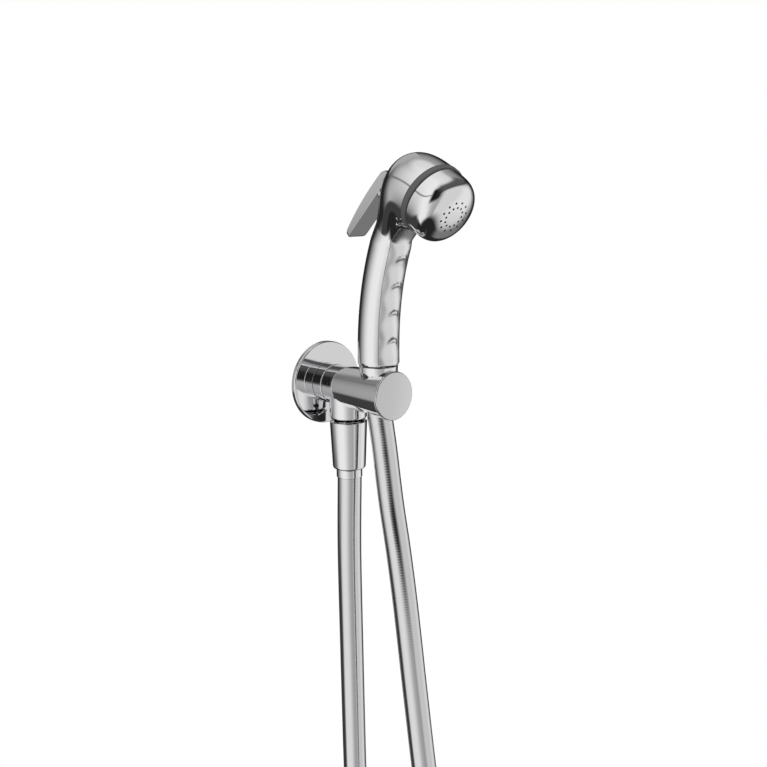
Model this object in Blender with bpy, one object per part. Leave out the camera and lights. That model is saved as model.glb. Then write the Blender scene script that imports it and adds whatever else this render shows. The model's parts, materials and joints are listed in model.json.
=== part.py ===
# Hand spray resting in a round wall outlet, with its hose.
# Metres, +Z up. The origin is the centre of the wall plate's back face, the wall is the plane y = 0,
# and the outlet's barrel points along -Y. The hand spray is symmetric about the plane x = 0.

import math

import bmesh
import bpy
from mathutils import Matrix, Vector

# Clearances
GAP = 0.0003
NUT_GAP = 0.0007
RUNNING_GAP = 0.0005
OVERCUT = 0.0020

# Wall plate, its nipple and the stub that carries the barrel
PLATE_RADIUS = 0.0273
PLATE_THICKNESS = 0.0036
PLATE_EDGE_ROUND = 0.0012
NIPPLE_RADIUS = 0.0104
NIPPLE_BORE_RADIUS = 0.0072
NIPPLE_IN_WALL = 0.016
NIPPLE_IN_STUB = 0.0048
COLLAR_RADIUS = 0.0131
COLLAR_LENGTH = 0.0082
SPIGOT_RADIUS = 0.0084
SPIGOT_LENGTH = 0.0068
WATERWAY_RADIUS = 0.0050
SEAL_SECTION = 0.0018

# Barrel with its outlet and the hole that holds the hand spray
BARREL_LENGTH = 0.0549
BARREL_REAR_RADIUS = 0.0127
BARREL_FRONT_RADIUS = 0.0154
BARREL_EDGE_ROUND = 0.0003
END_CAP_THICKNESS = 0.0013
END_CAP_FACE_MARGIN = 0.0008
END_CAP_STUD_RADIUS = 0.0030
END_CAP_STUD_LENGTH = 0.0006
OUTLET_REACH = 0.0242
OUTLET_RADIUS = 0.0121
OUTLET_DROP = 0.0220
OUTLET_CHAMFER = 0.0022
SCREW_RADIUS = 0.0019
SCREW_LENGTH = 0.0032
SCREW_KEY_RADIUS = 0.0010
SCREW_REACH = 0.0030
HOLDER_WALL = 0.0013

# Hose ends
THREAD_RADIUS = 0.0100
THREAD_LENGTH = 0.0090
NUT_TOP_RADIUS = 0.0122
NUT_TAPER = 0.045
WALL_NUT_LENGTH = 0.0316
HANDSET_NUT_LENGTH = 0.0200
NUT_EDGE_ROUND = 0.0016
WASHER_THICKNESS = 0.0020
WASHER_BORE_RADIUS = 0.0058
TAIL_HEAD_THICKNESS = 0.0022
TAIL_RADIUS = 0.0052
TAIL_BORE_RADIUS = 0.0040
FERRULE_RADIUS = 0.0085
FERRULE_LENGTH = 0.0058
HOSE_RADIUS = 0.0080

# The hose's route: down from the outlet and round, then up to the hand spray. Each point's
# second number is measured from the outlet's axis, or for the way up from the hand spray's axis.
HOSE_DOWN = [
    (0.0000, 0.0016, -0.1120),
    (0.0000, 0.0012, -0.1820),
    (0.0000, 0.0005, -0.2540),
    (0.0010, 0.0007, -0.3200),
    (0.0025, 0.0037, -0.3850),
    (0.0035, 0.0092, -0.4400),
    (0.0040, 0.0122, -0.4900),
    (0.0040, 0.0042, -0.5310),
    (0.0030, -0.0198, -0.5560),
]
HOSE_UP = [
    (0.0015, -0.0220, -0.5650),
    (0.0000, -0.0545, -0.5560),
    (-0.0015, -0.0780, -0.5310),
    (-0.0020, -0.0865, -0.4950),
    (-0.0020, -0.0840, -0.4520),
    (-0.0015, -0.0755, -0.4050),
    (-0.0010, -0.0642, -0.3550),
    (-0.0005, -0.0530, -0.3050),
    (0.0000, -0.0415, -0.2560),
    (0.0000, -0.0314, -0.1925),
    (0.0000, -0.0268, -0.1611),
    (0.0003, -0.0217, -0.1299),
    (0.0006, -0.0159, -0.0992),
    (0.0010, -0.0092, -0.0689),
    (0.0010, -0.0042, -0.0385),
    (0.0006, -0.0018, -0.0233),
]
HOSE_STEP = 0.029
HOSE_LEAD = 0.003

# Handle: a round grip that leans forward towards the head
HANDLE_RADIUS = 0.0130
HANDLE_TOP_RADIUS = 0.0124
HANDLE_FOOT = 0.0183
HANDLE_LENGTH = 0.0720
HANDLE_LEAN = 0.0113
HANDLE_LEAN_POWER = 2.4
HANDLE_EDGE_ROUND = 0.0010
SOCKET_RADIUS = 0.0088
SOCKET_DEPTH = 0.0100
CONNECTOR_BORE_RADIUS = 0.0045
CHANNEL_RADIUS = 0.0053
TUBE_WALL = 0.0012

# Grip strip set into the front of the handle, its places measured up the body's front from the foot
STRIP_HALF_WIDTH = 0.0087
STRIP_DEPTH = 0.0018
STRIP_START = 0.0020
STRIP_TOP_MARGIN = 0.0048
STRIP_DRAFT = 0.95
STRIP_CORNER = 0.0034
STRIP_FIRST_HOLLOW = 0.0088
STRIP_WAVE_PITCH = 0.0177
STRIP_WAVE_HEIGHT = 0.0007
STRIP_PROUD = 0.0002

# Neck and head
NECK_RISE = 0.0100
NECK_FORWARD = 0.0042
NECK_HALF_DEPTH = 0.0122
NECK_HALF_WIDTH = 0.0118
NECK_TILT = 42.0
HEAD_REACH = 0.0348
HEAD_RISE = 0.0299
HEAD_TILT = 31.0
HEAD_RADIUS = 0.0210
ELBOW_RISE_TILT = 68.0
ELBOW_SWELL = 0.03885
ELBOW_CROWN = 0.03045
ELBOW_CHIN = 0.00504
ELBOW_WIDEN = 0.72
HEAD_CAVITY_RADIUS = 0.0163
HEAD_CAVITY_DEPTH = 0.0095

# Spray end, measured forward from the head's front plane
RING_RADIUS = 0.0214
RING_LENGTH = 0.0036
RING_EDGE_ROUND = 0.0006
CAP_REACH = 0.0215
CAP_RADIUS = 0.0206
CAP_DOME_RADIUS = 0.0155
CAP_DOME_HEIGHT = 0.0016
CAP_WALL = 0.0024
SKIRT_RADIUS = 0.0160
SKIRT_WALL = 0.0020
SKIRT_LENGTH = 0.0068
JET_PLATE_THICKNESS = 0.0016
JET_PLATE_REACH = 0.0090
JET_PLATE_LEDGE = 0.0008
JET_HOLES = 6
JET_RADIUS = 0.0012
CAP_WASHER_THICKNESS = 0.0020
SPRAY_HOLES = 12
OUTER_HOLE_CIRCLE = 0.0090
INNER_HOLE_CIRCLE = 0.0060
SPRAY_HOLE_RADIUS = 0.0007

# Trigger lever and its pin, placed from the head's front plane
PIVOT_BACK = 0.0302
PIVOT_DROP = 0.0062
LEVER_SLOPE = 43.5
LEVER_REACH = 0.0504
LEVER_WIDTH = 0.0142
LEVER_THICKNESS = 0.0068
LEVER_TIP_THICKNESS = 0.0030
LEVER_HUB_RADIUS = 0.0043
LEVER_TRAVEL = 14.0
PIN_RADIUS = 0.0013
PIN_OVERHANG = 0.0021

# Valve worked by the lever, crosswise through the neck
VALVE_REACH = 0.0150
VALVE_BORE_RADIUS = 0.0062
VALVE_BUSH_START = 0.0056
VALVE_BUSH_LENGTH = 0.0050
VALVE_DEPTH = 0.0210
STEM_RADIUS = 0.0024
STEM_FLANGE_RADIUS = 0.0042
STEM_FLANGE_THICKNESS = 0.0010
VALVE_DISC_THICKNESS = 0.0014
SPRING_RADIUS = 0.0034
SPRING_WIRE_RADIUS = 0.0003
SPRING_TURNS = 3
LINK_RADIUS = 0.0028

ROUND_SIDES = 32
SMALL_SIDES = 20
FINE_ANGLE = math.radians(35)

for leftover in list(bpy.data.objects):
    bpy.data.objects.remove(leftover, do_unlink=True)


# Materials

def finish(name, color, roughness, metallic):
    material = bpy.data.materials.new(name)
    material.use_nodes = True
    shader = material.node_tree.nodes["Principled BSDF"]
    shader.inputs["Base Color"].default_value = (*color, 1.0)
    shader.inputs["Roughness"].default_value = roughness
    shader.inputs["Metallic"].default_value = metallic
    return material


CHROME = finish("chrome", (0.80, 0.80, 0.81), 0.05, 1.0)
SATIN_CHROME = finish("satin_chrome", (0.70, 0.70, 0.71), 0.25, 1.0)
BRASS = finish("brass", (0.72, 0.55, 0.28), 0.30, 1.0)
STEEL = finish("steel", (0.60, 0.60, 0.61), 0.25, 1.0)
HOSE_STEEL = finish("hose_steel", (0.70, 0.70, 0.71), 0.22, 1.0)
GREY_PLASTIC = finish("grey_plastic", (0.20, 0.20, 0.21), 0.55, 0.0)
WHITE_PLASTIC = finish("white_plastic", (0.80, 0.80, 0.78), 0.50, 0.0)
RUBBER = finish("rubber", (0.03, 0.03, 0.03), 0.70, 0.0)


# Frames and meshes

def frame(origin, axis, side=(1, 0, 0)):
    """A placement whose local Z is the axis and whose local X is the side."""
    z = Vector(axis).normalized()
    x = (Vector(side) - z * Vector(side).dot(z)).normalized()
    y = z.cross(x)
    turn = Matrix((x, y, z)).transposed()
    return Matrix.LocRotScale(Vector(origin), turn.to_quaternion(), None)


def add(name, bm, material, place=None):
    bmesh.ops.recalc_face_normals(bm, faces=bm.faces)
    mesh = bpy.data.meshes.new(name)
    bm.to_mesh(mesh)
    bm.free()
    mesh.materials.append(material)
    mesh.shade_smooth()
    mesh.set_sharp_from_angle(angle=FINE_ANGLE)
    piece = bpy.data.objects.new(name, mesh)
    if place is not None:
        piece.matrix_world = place
    bpy.context.scene.collection.objects.link(piece)
    return piece


def turned(outline, sides=ROUND_SIDES):
    """Spins an outline of (radius, along) points about local Z. It ends on the axis, or closes on itself."""
    bm = bmesh.new()
    solid = outline[0][0] == 0
    rings = []
    for radius, along in outline[1:-1] if solid else outline:
        turns = [math.tau * k / sides for k in range(sides)]
        rings.append([bm.verts.new((radius * math.cos(a), radius * math.sin(a), along)) for a in turns])
    pairs = list(zip(rings, rings[1:]))
    if not solid:
        pairs.append((rings[-1], rings[0]))
    for first, second in pairs:
        for k in range(sides):
            n = (k + 1) % sides
            bm.faces.new((first[k], first[n], second[n], second[k]))
    if solid:
        bm.faces.new(rings[0])
        bm.faces.new(rings[-1])
    return bm


def lofted(rings):
    """Joins rings of points in order and caps both ends."""
    bm = bmesh.new()
    loops = [[bm.verts.new(point) for point in ring] for ring in rings]
    for first, second in zip(loops, loops[1:]):
        for k in range(len(first)):
            n = (k + 1) % len(first)
            bm.faces.new((first[k], first[n], second[n], second[k]))
    bm.faces.new(list(reversed(loops[0])))
    bm.faces.new(loops[-1])
    return bm


def rounded(corner, before, after, size, steps=3):
    """A fillet of the given size at an outline's corner, as points on a quadratic curve."""
    corner, before, after = Vector(corner), Vector(before), Vector(after)
    start = corner + (before - corner).normalized() * size
    end = corner + (after - corner).normalized() * size
    points = []
    for k in range(steps + 1):
        t = k / steps
        points.append(tuple(start * (1 - t) ** 2 + corner * 2 * t * (1 - t) + end * t * t))
    return points


def softened(outline, rounds):
    """The outline with a fillet at each corner that rounds names by its number."""
    points = []
    for k, corner in enumerate(outline):
        before = outline[k - 1]
        after = outline[(k + 1) % len(outline)]
        points += rounded(corner, before, after, rounds[k]) if k in rounds else [tuple(corner)]
    return points


def cutter(name, bm, place=None):
    tool = add(name, bm, STEEL, place)
    tool.hide_render = True
    tool.display_type = "WIRE"
    return tool


def combine(piece, tool, operation):
    step = piece.modifiers.new(tool.name, "BOOLEAN")
    step.operation = operation
    step.solver = "EXACT"
    step.object = tool


def cut(piece, name, bm, place=None):
    combine(piece, cutter(name, bm, place), "DIFFERENCE")


def join(piece, name, bm, place=None):
    combine(piece, cutter(name, bm, place), "UNION")


def rod(radius, start, end, sides=SMALL_SIDES):
    """A plain cylinder along local Z, with no point on its axis."""
    bm = bmesh.new()
    middle = Matrix.Translation((0, 0, (start + end) / 2))
    bmesh.ops.create_cone(
        bm, cap_ends=True, segments=sides, radius1=radius, radius2=radius, depth=end - start, matrix=middle
    )
    return bm


def tube(outer, inner, start, end, sides=ROUND_SIDES):
    return turned([(inner, start), (outer, start), (outer, end), (inner, end)], sides)


# Wall side, along -Y from the wall

WALL = frame((0, 0, 0), (0, -1, 0))
STUB_BACK = PLATE_THICKNESS + GAP
STUB_FRONT = STUB_BACK + COLLAR_LENGTH
BARREL_BACK = STUB_FRONT + GAP
BARREL_FRONT = BARREL_BACK + BARREL_LENGTH
CAP_BACK = BARREL_FRONT + GAP


def nut_radius(down):
    """The cone nut's radius this far down from its top."""
    return NUT_TOP_RADIUS - NUT_TAPER * down


WALL_NUT_TOP = -(OUTLET_DROP + NUT_GAP)
HANDSET_NUT_TOP = HANDLE_FOOT - NUT_GAP
HOLDER_REACH = BARREL_FRONT - HOLDER_WALL - nut_radius(HANDSET_NUT_TOP) - GAP


def make_nipple():
    front = STUB_BACK + NIPPLE_IN_STUB
    outline = [
        (NIPPLE_BORE_RADIUS, -NIPPLE_IN_WALL),
        (NIPPLE_RADIUS, -NIPPLE_IN_WALL),
        (NIPPLE_RADIUS, front),
        (NIPPLE_BORE_RADIUS, front),
    ]
    add("wall_nipple", turned(softened(outline, {1: 0.001, 2: 0.0008})), BRASS, WALL)


def make_plate():
    bore = NIPPLE_RADIUS + GAP
    outline = [(bore, 0), (PLATE_RADIUS, 0), (PLATE_RADIUS, PLATE_THICKNESS), (bore, PLATE_THICKNESS)]
    add("wall_plate", turned(softened(outline, {2: PLATE_EDGE_ROUND}), 48), CHROME, WALL)


def make_stub():
    socket = NIPPLE_RADIUS + GAP
    socket_end = STUB_BACK + NIPPLE_IN_STUB + GAP
    tip = STUB_FRONT + SPIGOT_LENGTH
    groove = STUB_FRONT + SPIGOT_LENGTH / 2
    depth = SPIGOT_RADIUS - SEAL_SECTION * 0.7
    outline = [
        (socket, STUB_BACK),
        (COLLAR_RADIUS, STUB_BACK),
        (COLLAR_RADIUS, STUB_FRONT),
        (SPIGOT_RADIUS, STUB_FRONT),
        (SPIGOT_RADIUS, groove - SEAL_SECTION / 2 - GAP),
        (depth, groove - SEAL_SECTION / 2 - GAP),
        (depth, groove + SEAL_SECTION / 2 + GAP),
        (SPIGOT_RADIUS, groove + SEAL_SECTION / 2 + GAP),
        (SPIGOT_RADIUS, tip),
        (WATERWAY_RADIUS, tip),
        (WATERWAY_RADIUS, socket_end),
        (socket, socket_end),
    ]
    add("outlet_collar", turned(softened(outline, {2: 0.0004})), CHROME, WALL)
    inner = depth + GAP
    outer = SPIGOT_RADIUS
    half = SEAL_SECTION / 2
    seal = [(inner, groove - half), (outer, groove - half), (outer, groove + half), (inner, groove + half)]
    add("collar_seal", turned(softened(seal, {1: 0.0003, 2: 0.0003})), RUBBER, WALL)


def make_barrel():
    outline = [
        (0, BARREL_BACK),
        (BARREL_REAR_RADIUS, BARREL_BACK),
        (BARREL_FRONT_RADIUS, BARREL_FRONT),
        (0, BARREL_FRONT),
    ]
    rounds = {1: 0.0005, 2: BARREL_EDGE_ROUND}
    barrel = add("holder_barrel", turned(softened(outline, rounds), 48), CHROME, WALL)

    outlet = frame((0, -OUTLET_REACH, 0), (0, 0, -1))
    neck_end = OUTLET_RADIUS - OUTLET_CHAMFER
    neck = [
        (0, OVERCUT),
        (OUTLET_RADIUS, OVERCUT),
        (OUTLET_RADIUS, OUTLET_DROP - OUTLET_CHAMFER),
        (neck_end + GAP, OUTLET_DROP),
        (THREAD_RADIUS - GAP, OUTLET_DROP),
        (THREAD_RADIUS - GAP, OUTLET_DROP + THREAD_LENGTH),
        (0, OUTLET_DROP + THREAD_LENGTH),
    ]
    join(barrel, "neck_shape", turned(neck), outlet)

    socket_end = STUB_FRONT + SPIGOT_LENGTH + GAP
    bores = frame((0, 0, 0), (0, -1, 0), (1, 0, 0.03))
    socket = rod(SPIGOT_RADIUS + GAP, BARREL_BACK - OVERCUT, socket_end, ROUND_SIDES)
    cut(barrel, "spigot_socket", socket, bores)
    waterway = rod(WATERWAY_RADIUS, socket_end - OVERCUT, OUTLET_REACH + WATERWAY_RADIUS * 0.3, SMALL_SIDES)
    cut(barrel, "waterway", waterway, bores)
    outlet_end = OUTLET_DROP + THREAD_LENGTH + OVERCUT
    outlet_bore = rod(WATERWAY_RADIUS * 1.12, -WATERWAY_RADIUS * 0.2, outlet_end, 22)
    cut(barrel, "outlet_bore", outlet_bore, outlet)

    holder = frame((0, -HOLDER_REACH, 0), (0, 0, 1), (1, 0.07, 0))
    over = BARREL_FRONT_RADIUS + OVERCUT
    hole = [
        (0, -over),
        (nut_radius(HANDSET_NUT_TOP + over) + GAP, -over),
        (nut_radius(HANDSET_NUT_TOP - over) + GAP, over),
        (0, over),
    ]
    cut(barrel, "holder_hole", turned(hole, 40), holder)

    cap_bore = rod(END_CAP_STUD_RADIUS + GAP, BARREL_FRONT - END_CAP_STUD_LENGTH, BARREL_FRONT + OVERCUT)
    cut(barrel, "cap_bore", cap_bore, WALL)

    reach = BARREL_BACK + SCREW_REACH
    screw_place = frame((SPIGOT_RADIUS + GAP, -reach, 0), (1, 0, 0), (0, 0, 1))
    cut(barrel, "screw_hole", rod(SCREW_RADIUS + GAP, -OVERCUT, BARREL_REAR_RADIUS), screw_place)
    key_depth = SCREW_LENGTH * 0.6
    screw = [
        (0, GAP),
        (SCREW_RADIUS, GAP),
        (SCREW_RADIUS, GAP + SCREW_LENGTH),
        (SCREW_KEY_RADIUS, GAP + SCREW_LENGTH),
        (SCREW_KEY_RADIUS, GAP + key_depth),
        (0, GAP + key_depth),
    ]
    add("grub_screw", turned(screw, 18), STEEL, screw_place)


def make_end_cap():
    rim = BARREL_FRONT_RADIUS - BARREL_EDGE_ROUND * 0.4
    face = BARREL_FRONT + GAP + END_CAP_THICKNESS
    outline = [
        (0, CAP_BACK - END_CAP_STUD_LENGTH),
        (END_CAP_STUD_RADIUS, CAP_BACK - END_CAP_STUD_LENGTH),
        (END_CAP_STUD_RADIUS, CAP_BACK),
        (rim, CAP_BACK),
        (rim, face),
        (0, face),
    ]
    points = softened(outline, {4: END_CAP_FACE_MARGIN})
    add("end_cap", turned(points, 48), SATIN_CHROME, WALL)


# Hose ends, measured down from the nut's top

WASHER_TOP = THREAD_LENGTH - NUT_GAP + GAP
TAIL_TOP = WASHER_TOP + WASHER_THICKNESS + GAP
SHOULDER = TAIL_TOP + TAIL_HEAD_THICKNESS + GAP


def make_hose_end(prefix, reach, top, nut_length):
    """Cone nut, washer, tail and ferrule of one hose end; returns the height where the hose starts."""
    place = frame((0, -reach, top), (0, 0, -1))
    thread_bore = THREAD_RADIUS + GAP
    tail_bore = TAIL_RADIUS + GAP
    nut = [
        (thread_bore, 0),
        (NUT_TOP_RADIUS, 0),
        (nut_radius(nut_length), nut_length),
        (tail_bore, nut_length),
        (tail_bore, SHOULDER),
        (thread_bore, SHOULDER),
    ]
    rounds = {1: 0.0005, 2: NUT_EDGE_ROUND}
    add(prefix + "_hose_nut", turned(softened(nut, rounds), 40), CHROME, place)
    washer_end = WASHER_TOP + WASHER_THICKNESS
    washer = tube(THREAD_RADIUS - GAP, WASHER_BORE_RADIUS, WASHER_TOP, washer_end, 28)
    add(prefix + "_hose_washer", washer, RUBBER, place)
    ferrule_top = nut_length + GAP
    ferrule_end = ferrule_top + FERRULE_LENGTH
    tail = [
        (TAIL_BORE_RADIUS, TAIL_TOP),
        (THREAD_RADIUS - GAP, TAIL_TOP),
        (THREAD_RADIUS - GAP, TAIL_TOP + TAIL_HEAD_THICKNESS),
        (TAIL_RADIUS, TAIL_TOP + TAIL_HEAD_THICKNESS),
        (TAIL_RADIUS, ferrule_end - GAP),
        (TAIL_BORE_RADIUS, ferrule_end - GAP),
    ]
    add(prefix + "_hose_tail", turned(tail, 28), BRASS, place)
    ferrule = [
        (tail_bore, ferrule_top),
        (FERRULE_RADIUS, ferrule_top),
        (FERRULE_RADIUS, ferrule_end),
        (tail_bore, ferrule_end),
    ]
    add(prefix + "_hose_ferrule", turned(softened(ferrule, {1: 0.0005, 2: 0.0005})), CHROME, place)
    return top - ferrule_end - GAP


def smooth_path(points, step):
    """Points every step along a smooth curve through the given points."""
    ends = [points[0] * 2 - points[1], *points, points[-1] * 2 - points[-2]]
    fine = []
    for k in range(1, len(ends) - 2):
        p0, p1, p2, p3 = ends[k - 1 : k + 3]
        for n in range(24):
            t = n / 24
            fine.append(
                0.5
                * (
                    2 * p1
                    + (p2 - p0) * t
                    + (2 * p0 - 5 * p1 + 4 * p2 - p3) * t * t
                    + (3 * p1 - p0 - 3 * p2 + p3) * t**3
                )
            )
    fine.append(points[-1])
    total = sum((b - a).length for a, b in zip(fine, fine[1:]))
    count = max(2, round(total / step))
    spaced = [fine[0]]
    gone = 0.0
    for a, b in zip(fine, fine[1:]):
        length = (b - a).length
        while length > 0 and gone + length >= len(spaced) * total / count and len(spaced) < count:
            share = (len(spaced) * total / count - gone) / length
            spaced.append(a.lerp(b, share))
        gone += length
    spaced.append(fine[-1])
    return spaced


def make_hose(start, end):
    """The hose, straight out of each ferrule and then along its route."""
    lead = Vector((0, 0, HOSE_LEAD))
    down = [Vector((x, start.y + y, z)) for x, y, z in HOSE_DOWN]
    up = [Vector((x, end.y + y, z)) for x, y, z in HOSE_UP]
    points = [start, *smooth_path([start - lead, *down, *up, end - lead], HOSE_STEP), end]
    curve = bpy.data.curves.new("hose", "CURVE")
    curve.dimensions = "3D"
    curve.bevel_depth = HOSE_RADIUS
    curve.bevel_resolution = 3
    curve.use_fill_caps = True
    spline = curve.splines.new("POLY")
    spline.points.add(len(points) - 1)
    for place, point in zip(spline.points, points):
        place.co = (*point, 1.0)
    curve.materials.append(HOSE_STEEL)
    hose = bpy.data.objects.new("hose", curve)
    bpy.context.scene.collection.objects.link(hose)


# Handle and head, laid out in the plane x = 0 as (y, z)

def flat(y, z):
    return Vector((0, y, z))


def direction(tilt):
    """Backwards along +Y, raised by tilt degrees."""
    return flat(math.cos(math.radians(tilt)), math.sin(math.radians(tilt)))


FOOT = flat(-HOLDER_REACH, HANDLE_FOOT)


def handle_point(height):
    share = height / HANDLE_LENGTH
    return FOOT + flat(-HANDLE_LEAN * abs(share) ** HANDLE_LEAN_POWER, height)


def handle_tilt(height):
    slope = HANDLE_LEAN * HANDLE_LEAN_POWER / HANDLE_LENGTH * (height / HANDLE_LENGTH) ** (HANDLE_LEAN_POWER - 1)
    return math.degrees(math.atan(slope))


def handle_radius(height):
    return HANDLE_RADIUS + (HANDLE_TOP_RADIUS - HANDLE_RADIUS) * height / HANDLE_LENGTH


SHOULDER_CENTRE = handle_point(HANDLE_LENGTH)
NECK_CENTRE = SHOULDER_CENTRE + flat(-NECK_FORWARD, NECK_RISE)
HEAD_CENTRE = SHOULDER_CENTRE + flat(-HEAD_REACH, HEAD_RISE)
HEAD_BACK = direction(HEAD_TILT)
HEAD_UP = direction(HEAD_TILT + 90)
HEAD = frame(HEAD_CENTRE, -HEAD_BACK)


def bezier(p0, p1, p2, p3, t):
    s = 1 - t
    return p0 * s**3 + p1 * 3 * s * s * t + p2 * 3 * s * t * t + p3 * t**3


def section(inner, outer, half_width, sides=28):
    """An oval across the body, from its inner (front) point to its outer (back) point."""
    centre = (inner + outer) / 2
    half = (outer - inner) / 2
    points = []
    for k in range(sides):
        turn = math.tau * k / sides
        points.append(centre + half * math.cos(turn) + Vector((half_width * math.sin(turn), 0, 0)))
    return points


def round_slice(height, radius):
    across = direction(handle_tilt(height)) * radius
    centre = handle_point(height)
    return centre - across, centre + across, radius


def round_section(height, radius):
    return section(*round_slice(height, radius))


def elbow_slices(count=11):
    """Ovals that turn from the neck into the head's round front."""
    across = direction(NECK_TILT) * NECK_HALF_DEPTH
    neck_inner, neck_outer = NECK_CENTRE - across, NECK_CENTRE + across
    head_inner = HEAD_CENTRE - HEAD_UP * HEAD_RADIUS
    head_outer = HEAD_CENTRE + HEAD_UP * HEAD_RADIUS
    rise = direction(NECK_TILT + ELBOW_RISE_TILT)
    swell = rise * ELBOW_SWELL
    crown = HEAD_BACK * ELBOW_CROWN
    chin_rise = rise * ELBOW_CHIN
    chin_back = HEAD_BACK * ELBOW_CHIN
    slices = []
    for k in range(count):
        t = k / (count - 1)
        outer = bezier(neck_outer, neck_outer + swell, head_outer + crown, head_outer, t)
        inner = bezier(neck_inner, neck_inner + chin_rise, head_inner + chin_back, head_inner, t)
        grow = math.sin(min(1.0, t / ELBOW_WIDEN) * math.pi / 2) ** 1.15
        width = NECK_HALF_WIDTH + (HEAD_RADIUS - NECK_HALF_WIDTH) * grow
        slices.append((inner, outer, width))
    return slices


def body_slices():
    """Front point, back point and half width of each oval, from the foot to the head's front."""
    edge = HANDLE_EDGE_ROUND
    heights = [edge] + [HANDLE_LENGTH * share for share in (0.2, 0.4, 0.55, 0.7, 0.85, 1.0)]
    heights.append(HANDLE_LENGTH + NECK_RISE * 0.35)
    slices = [round_slice(0, HANDLE_RADIUS - edge)]
    slices += [round_slice(height, handle_radius(height)) for height in heights]
    return slices + elbow_slices()


BODY_SLICES = body_slices()
FRONT_LENGTH = sum((high[0] - low[0]).length for low, high in zip(BODY_SLICES, BODY_SLICES[1:]))


def front_slice(along):
    """The body's oval at this distance from the foot, measured up the middle of its front."""
    gone = 0.0
    for low, high in zip(BODY_SLICES, BODY_SLICES[1:]):
        step = (high[0] - low[0]).length
        if gone + step > along:
            share = (along - gone) / step
            return [a + (b - a) * share for a, b in zip(low, high)]
        gone += step
    return BODY_SLICES[-1]


def front_normal(along):
    """Straight out of the body's front, in the plane x = 0."""
    reach = STRIP_HALF_WIDTH / 2
    way = front_slice(along + reach)[0] - front_slice(max(along - reach, 0))[0]
    return flat(-way.z, way.y).normalized()


def strip_section(along, half_width, depth, proud, sides=8):
    """A slice of the grip strip: a shell that follows the body's round front."""
    inner, outer, body_half = front_slice(along)
    reach = (outer - inner) / 2
    out = front_normal(along)
    points = []
    for offset, reach_across in ((proud, half_width), (-depth, -half_width * STRIP_DRAFT)):
        for k in range(sides + 1):
            x = reach_across * math.sin(math.pi / 2 * (2 * k / sides - 1))
            fall = math.sqrt(1 - (x / body_half) ** 2)
            points.append(inner + reach * (1 - fall) + out * (offset / fall) + Vector((x, 0, 0)))
    return points


def strip_rings(extra, proud, waves):
    """The strip's slices from its square foot to its top with round corners, grown all round by extra."""
    half_width = STRIP_HALF_WIDTH + extra
    corner = STRIP_CORNER + extra
    start = STRIP_START - extra
    straight = FRONT_LENGTH - STRIP_TOP_MARGIN + extra - corner
    places = [(start + (straight - start) * k / 28, half_width) for k in range(29)]
    for k in range(1, 6):
        turn = math.pi / 2 * k / 5
        places.append((straight + corner * math.sin(turn), half_width - corner * (1 - math.cos(turn))))
    rings = []
    for along, width in places:
        wave = math.pi * (along - STRIP_FIRST_HOLLOW) / STRIP_WAVE_PITCH
        dip = waves * abs(math.cos(wave)) ** 1.5
        rings.append(strip_section(along, width, STRIP_DEPTH + extra, proud - dip))
    return rings


# Lever and valve places

PIVOT = HEAD_CENTRE + HEAD_BACK * PIVOT_BACK - HEAD_UP * PIVOT_DROP
LEVER_ALONG = direction(-LEVER_SLOPE)
LEVER_OUT = direction(90 - LEVER_SLOPE)
HALF_TRAVEL = LEVER_SLOPE + LEVER_TRAVEL / 2
VALVE_AXIS = -direction(90 - HALF_TRAVEL)
VALVE_START = PIVOT + direction(-HALF_TRAVEL) * VALVE_REACH
VALVE = frame(VALVE_START, VALVE_AXIS)
REST_LIFT = VALVE_REACH * math.tan(math.radians(LEVER_TRAVEL / 2))


def lever_point(along, out):
    return PIVOT + LEVER_ALONG * along + LEVER_OUT * out


def make_body():
    body = add("handset_body", lofted([section(*oval) for oval in BODY_SLICES]), CHROME)
    cavity = rod(HEAD_CAVITY_RADIUS, -HEAD_CAVITY_DEPTH, OVERCUT, ROUND_SIDES)
    cut(body, "head_cavity", cavity, HEAD)
    foot = frame(FOOT, (0, 0, 1))
    cut(body, "connector_socket", rod(SOCKET_RADIUS + GAP, -OVERCUT, SOCKET_DEPTH + GAP, 28), foot)

    bore_start = -VALVE_BORE_RADIUS
    cut(body, "valve_bore", rod(VALVE_BORE_RADIUS + GAP, bore_start, VALVE_DEPTH, 24), VALVE)
    chamber = VALVE_START + VALVE_AXIS * (VALVE_BUSH_START + VALVE_BUSH_LENGTH + VALVE_DEPTH) / 2
    floor = HEAD_CENTRE + HEAD_BACK * (HEAD_CAVITY_DEPTH - OVERCUT) - HEAD_UP * HEAD_CAVITY_RADIUS * 0.6
    link = floor - chamber
    cut(body, "chamber_link", rod(LINK_RADIUS, 0, link.length, 16), frame(chamber, link))

    rings = []
    for k in range(9):
        height = SOCKET_DEPTH - OVERCUT + (HANDLE_LENGTH + NECK_RISE - SOCKET_DEPTH) * k / 8
        rings.append(round_section(height, CHANNEL_RADIUS)[::2])
    cut(body, "water_channel", lofted(rings))

    cut(body, "strip_recess", lofted(strip_rings(GAP, OVERCUT, 0)))

    half = LEVER_WIDTH / 2 + RUNNING_GAP
    cut(body, "lever_slot", lever_slot(half))
    length = LEVER_WIDTH / 2 + PIN_OVERHANG
    pin_place = frame(PIVOT, (1, 0, 0), (0, 1, 0))
    cut(body, "pin_hole", rod(PIN_RADIUS + GAP, -length - GAP, HEAD_RADIUS, 16), pin_place)
    return body


def extruded(points, half):
    """A flat outline in the plane x = 0, carried from -half to half along X."""
    return lofted([[p + Vector((side, 0, 0)) for p in points] for side in (-half, half)])


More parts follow.
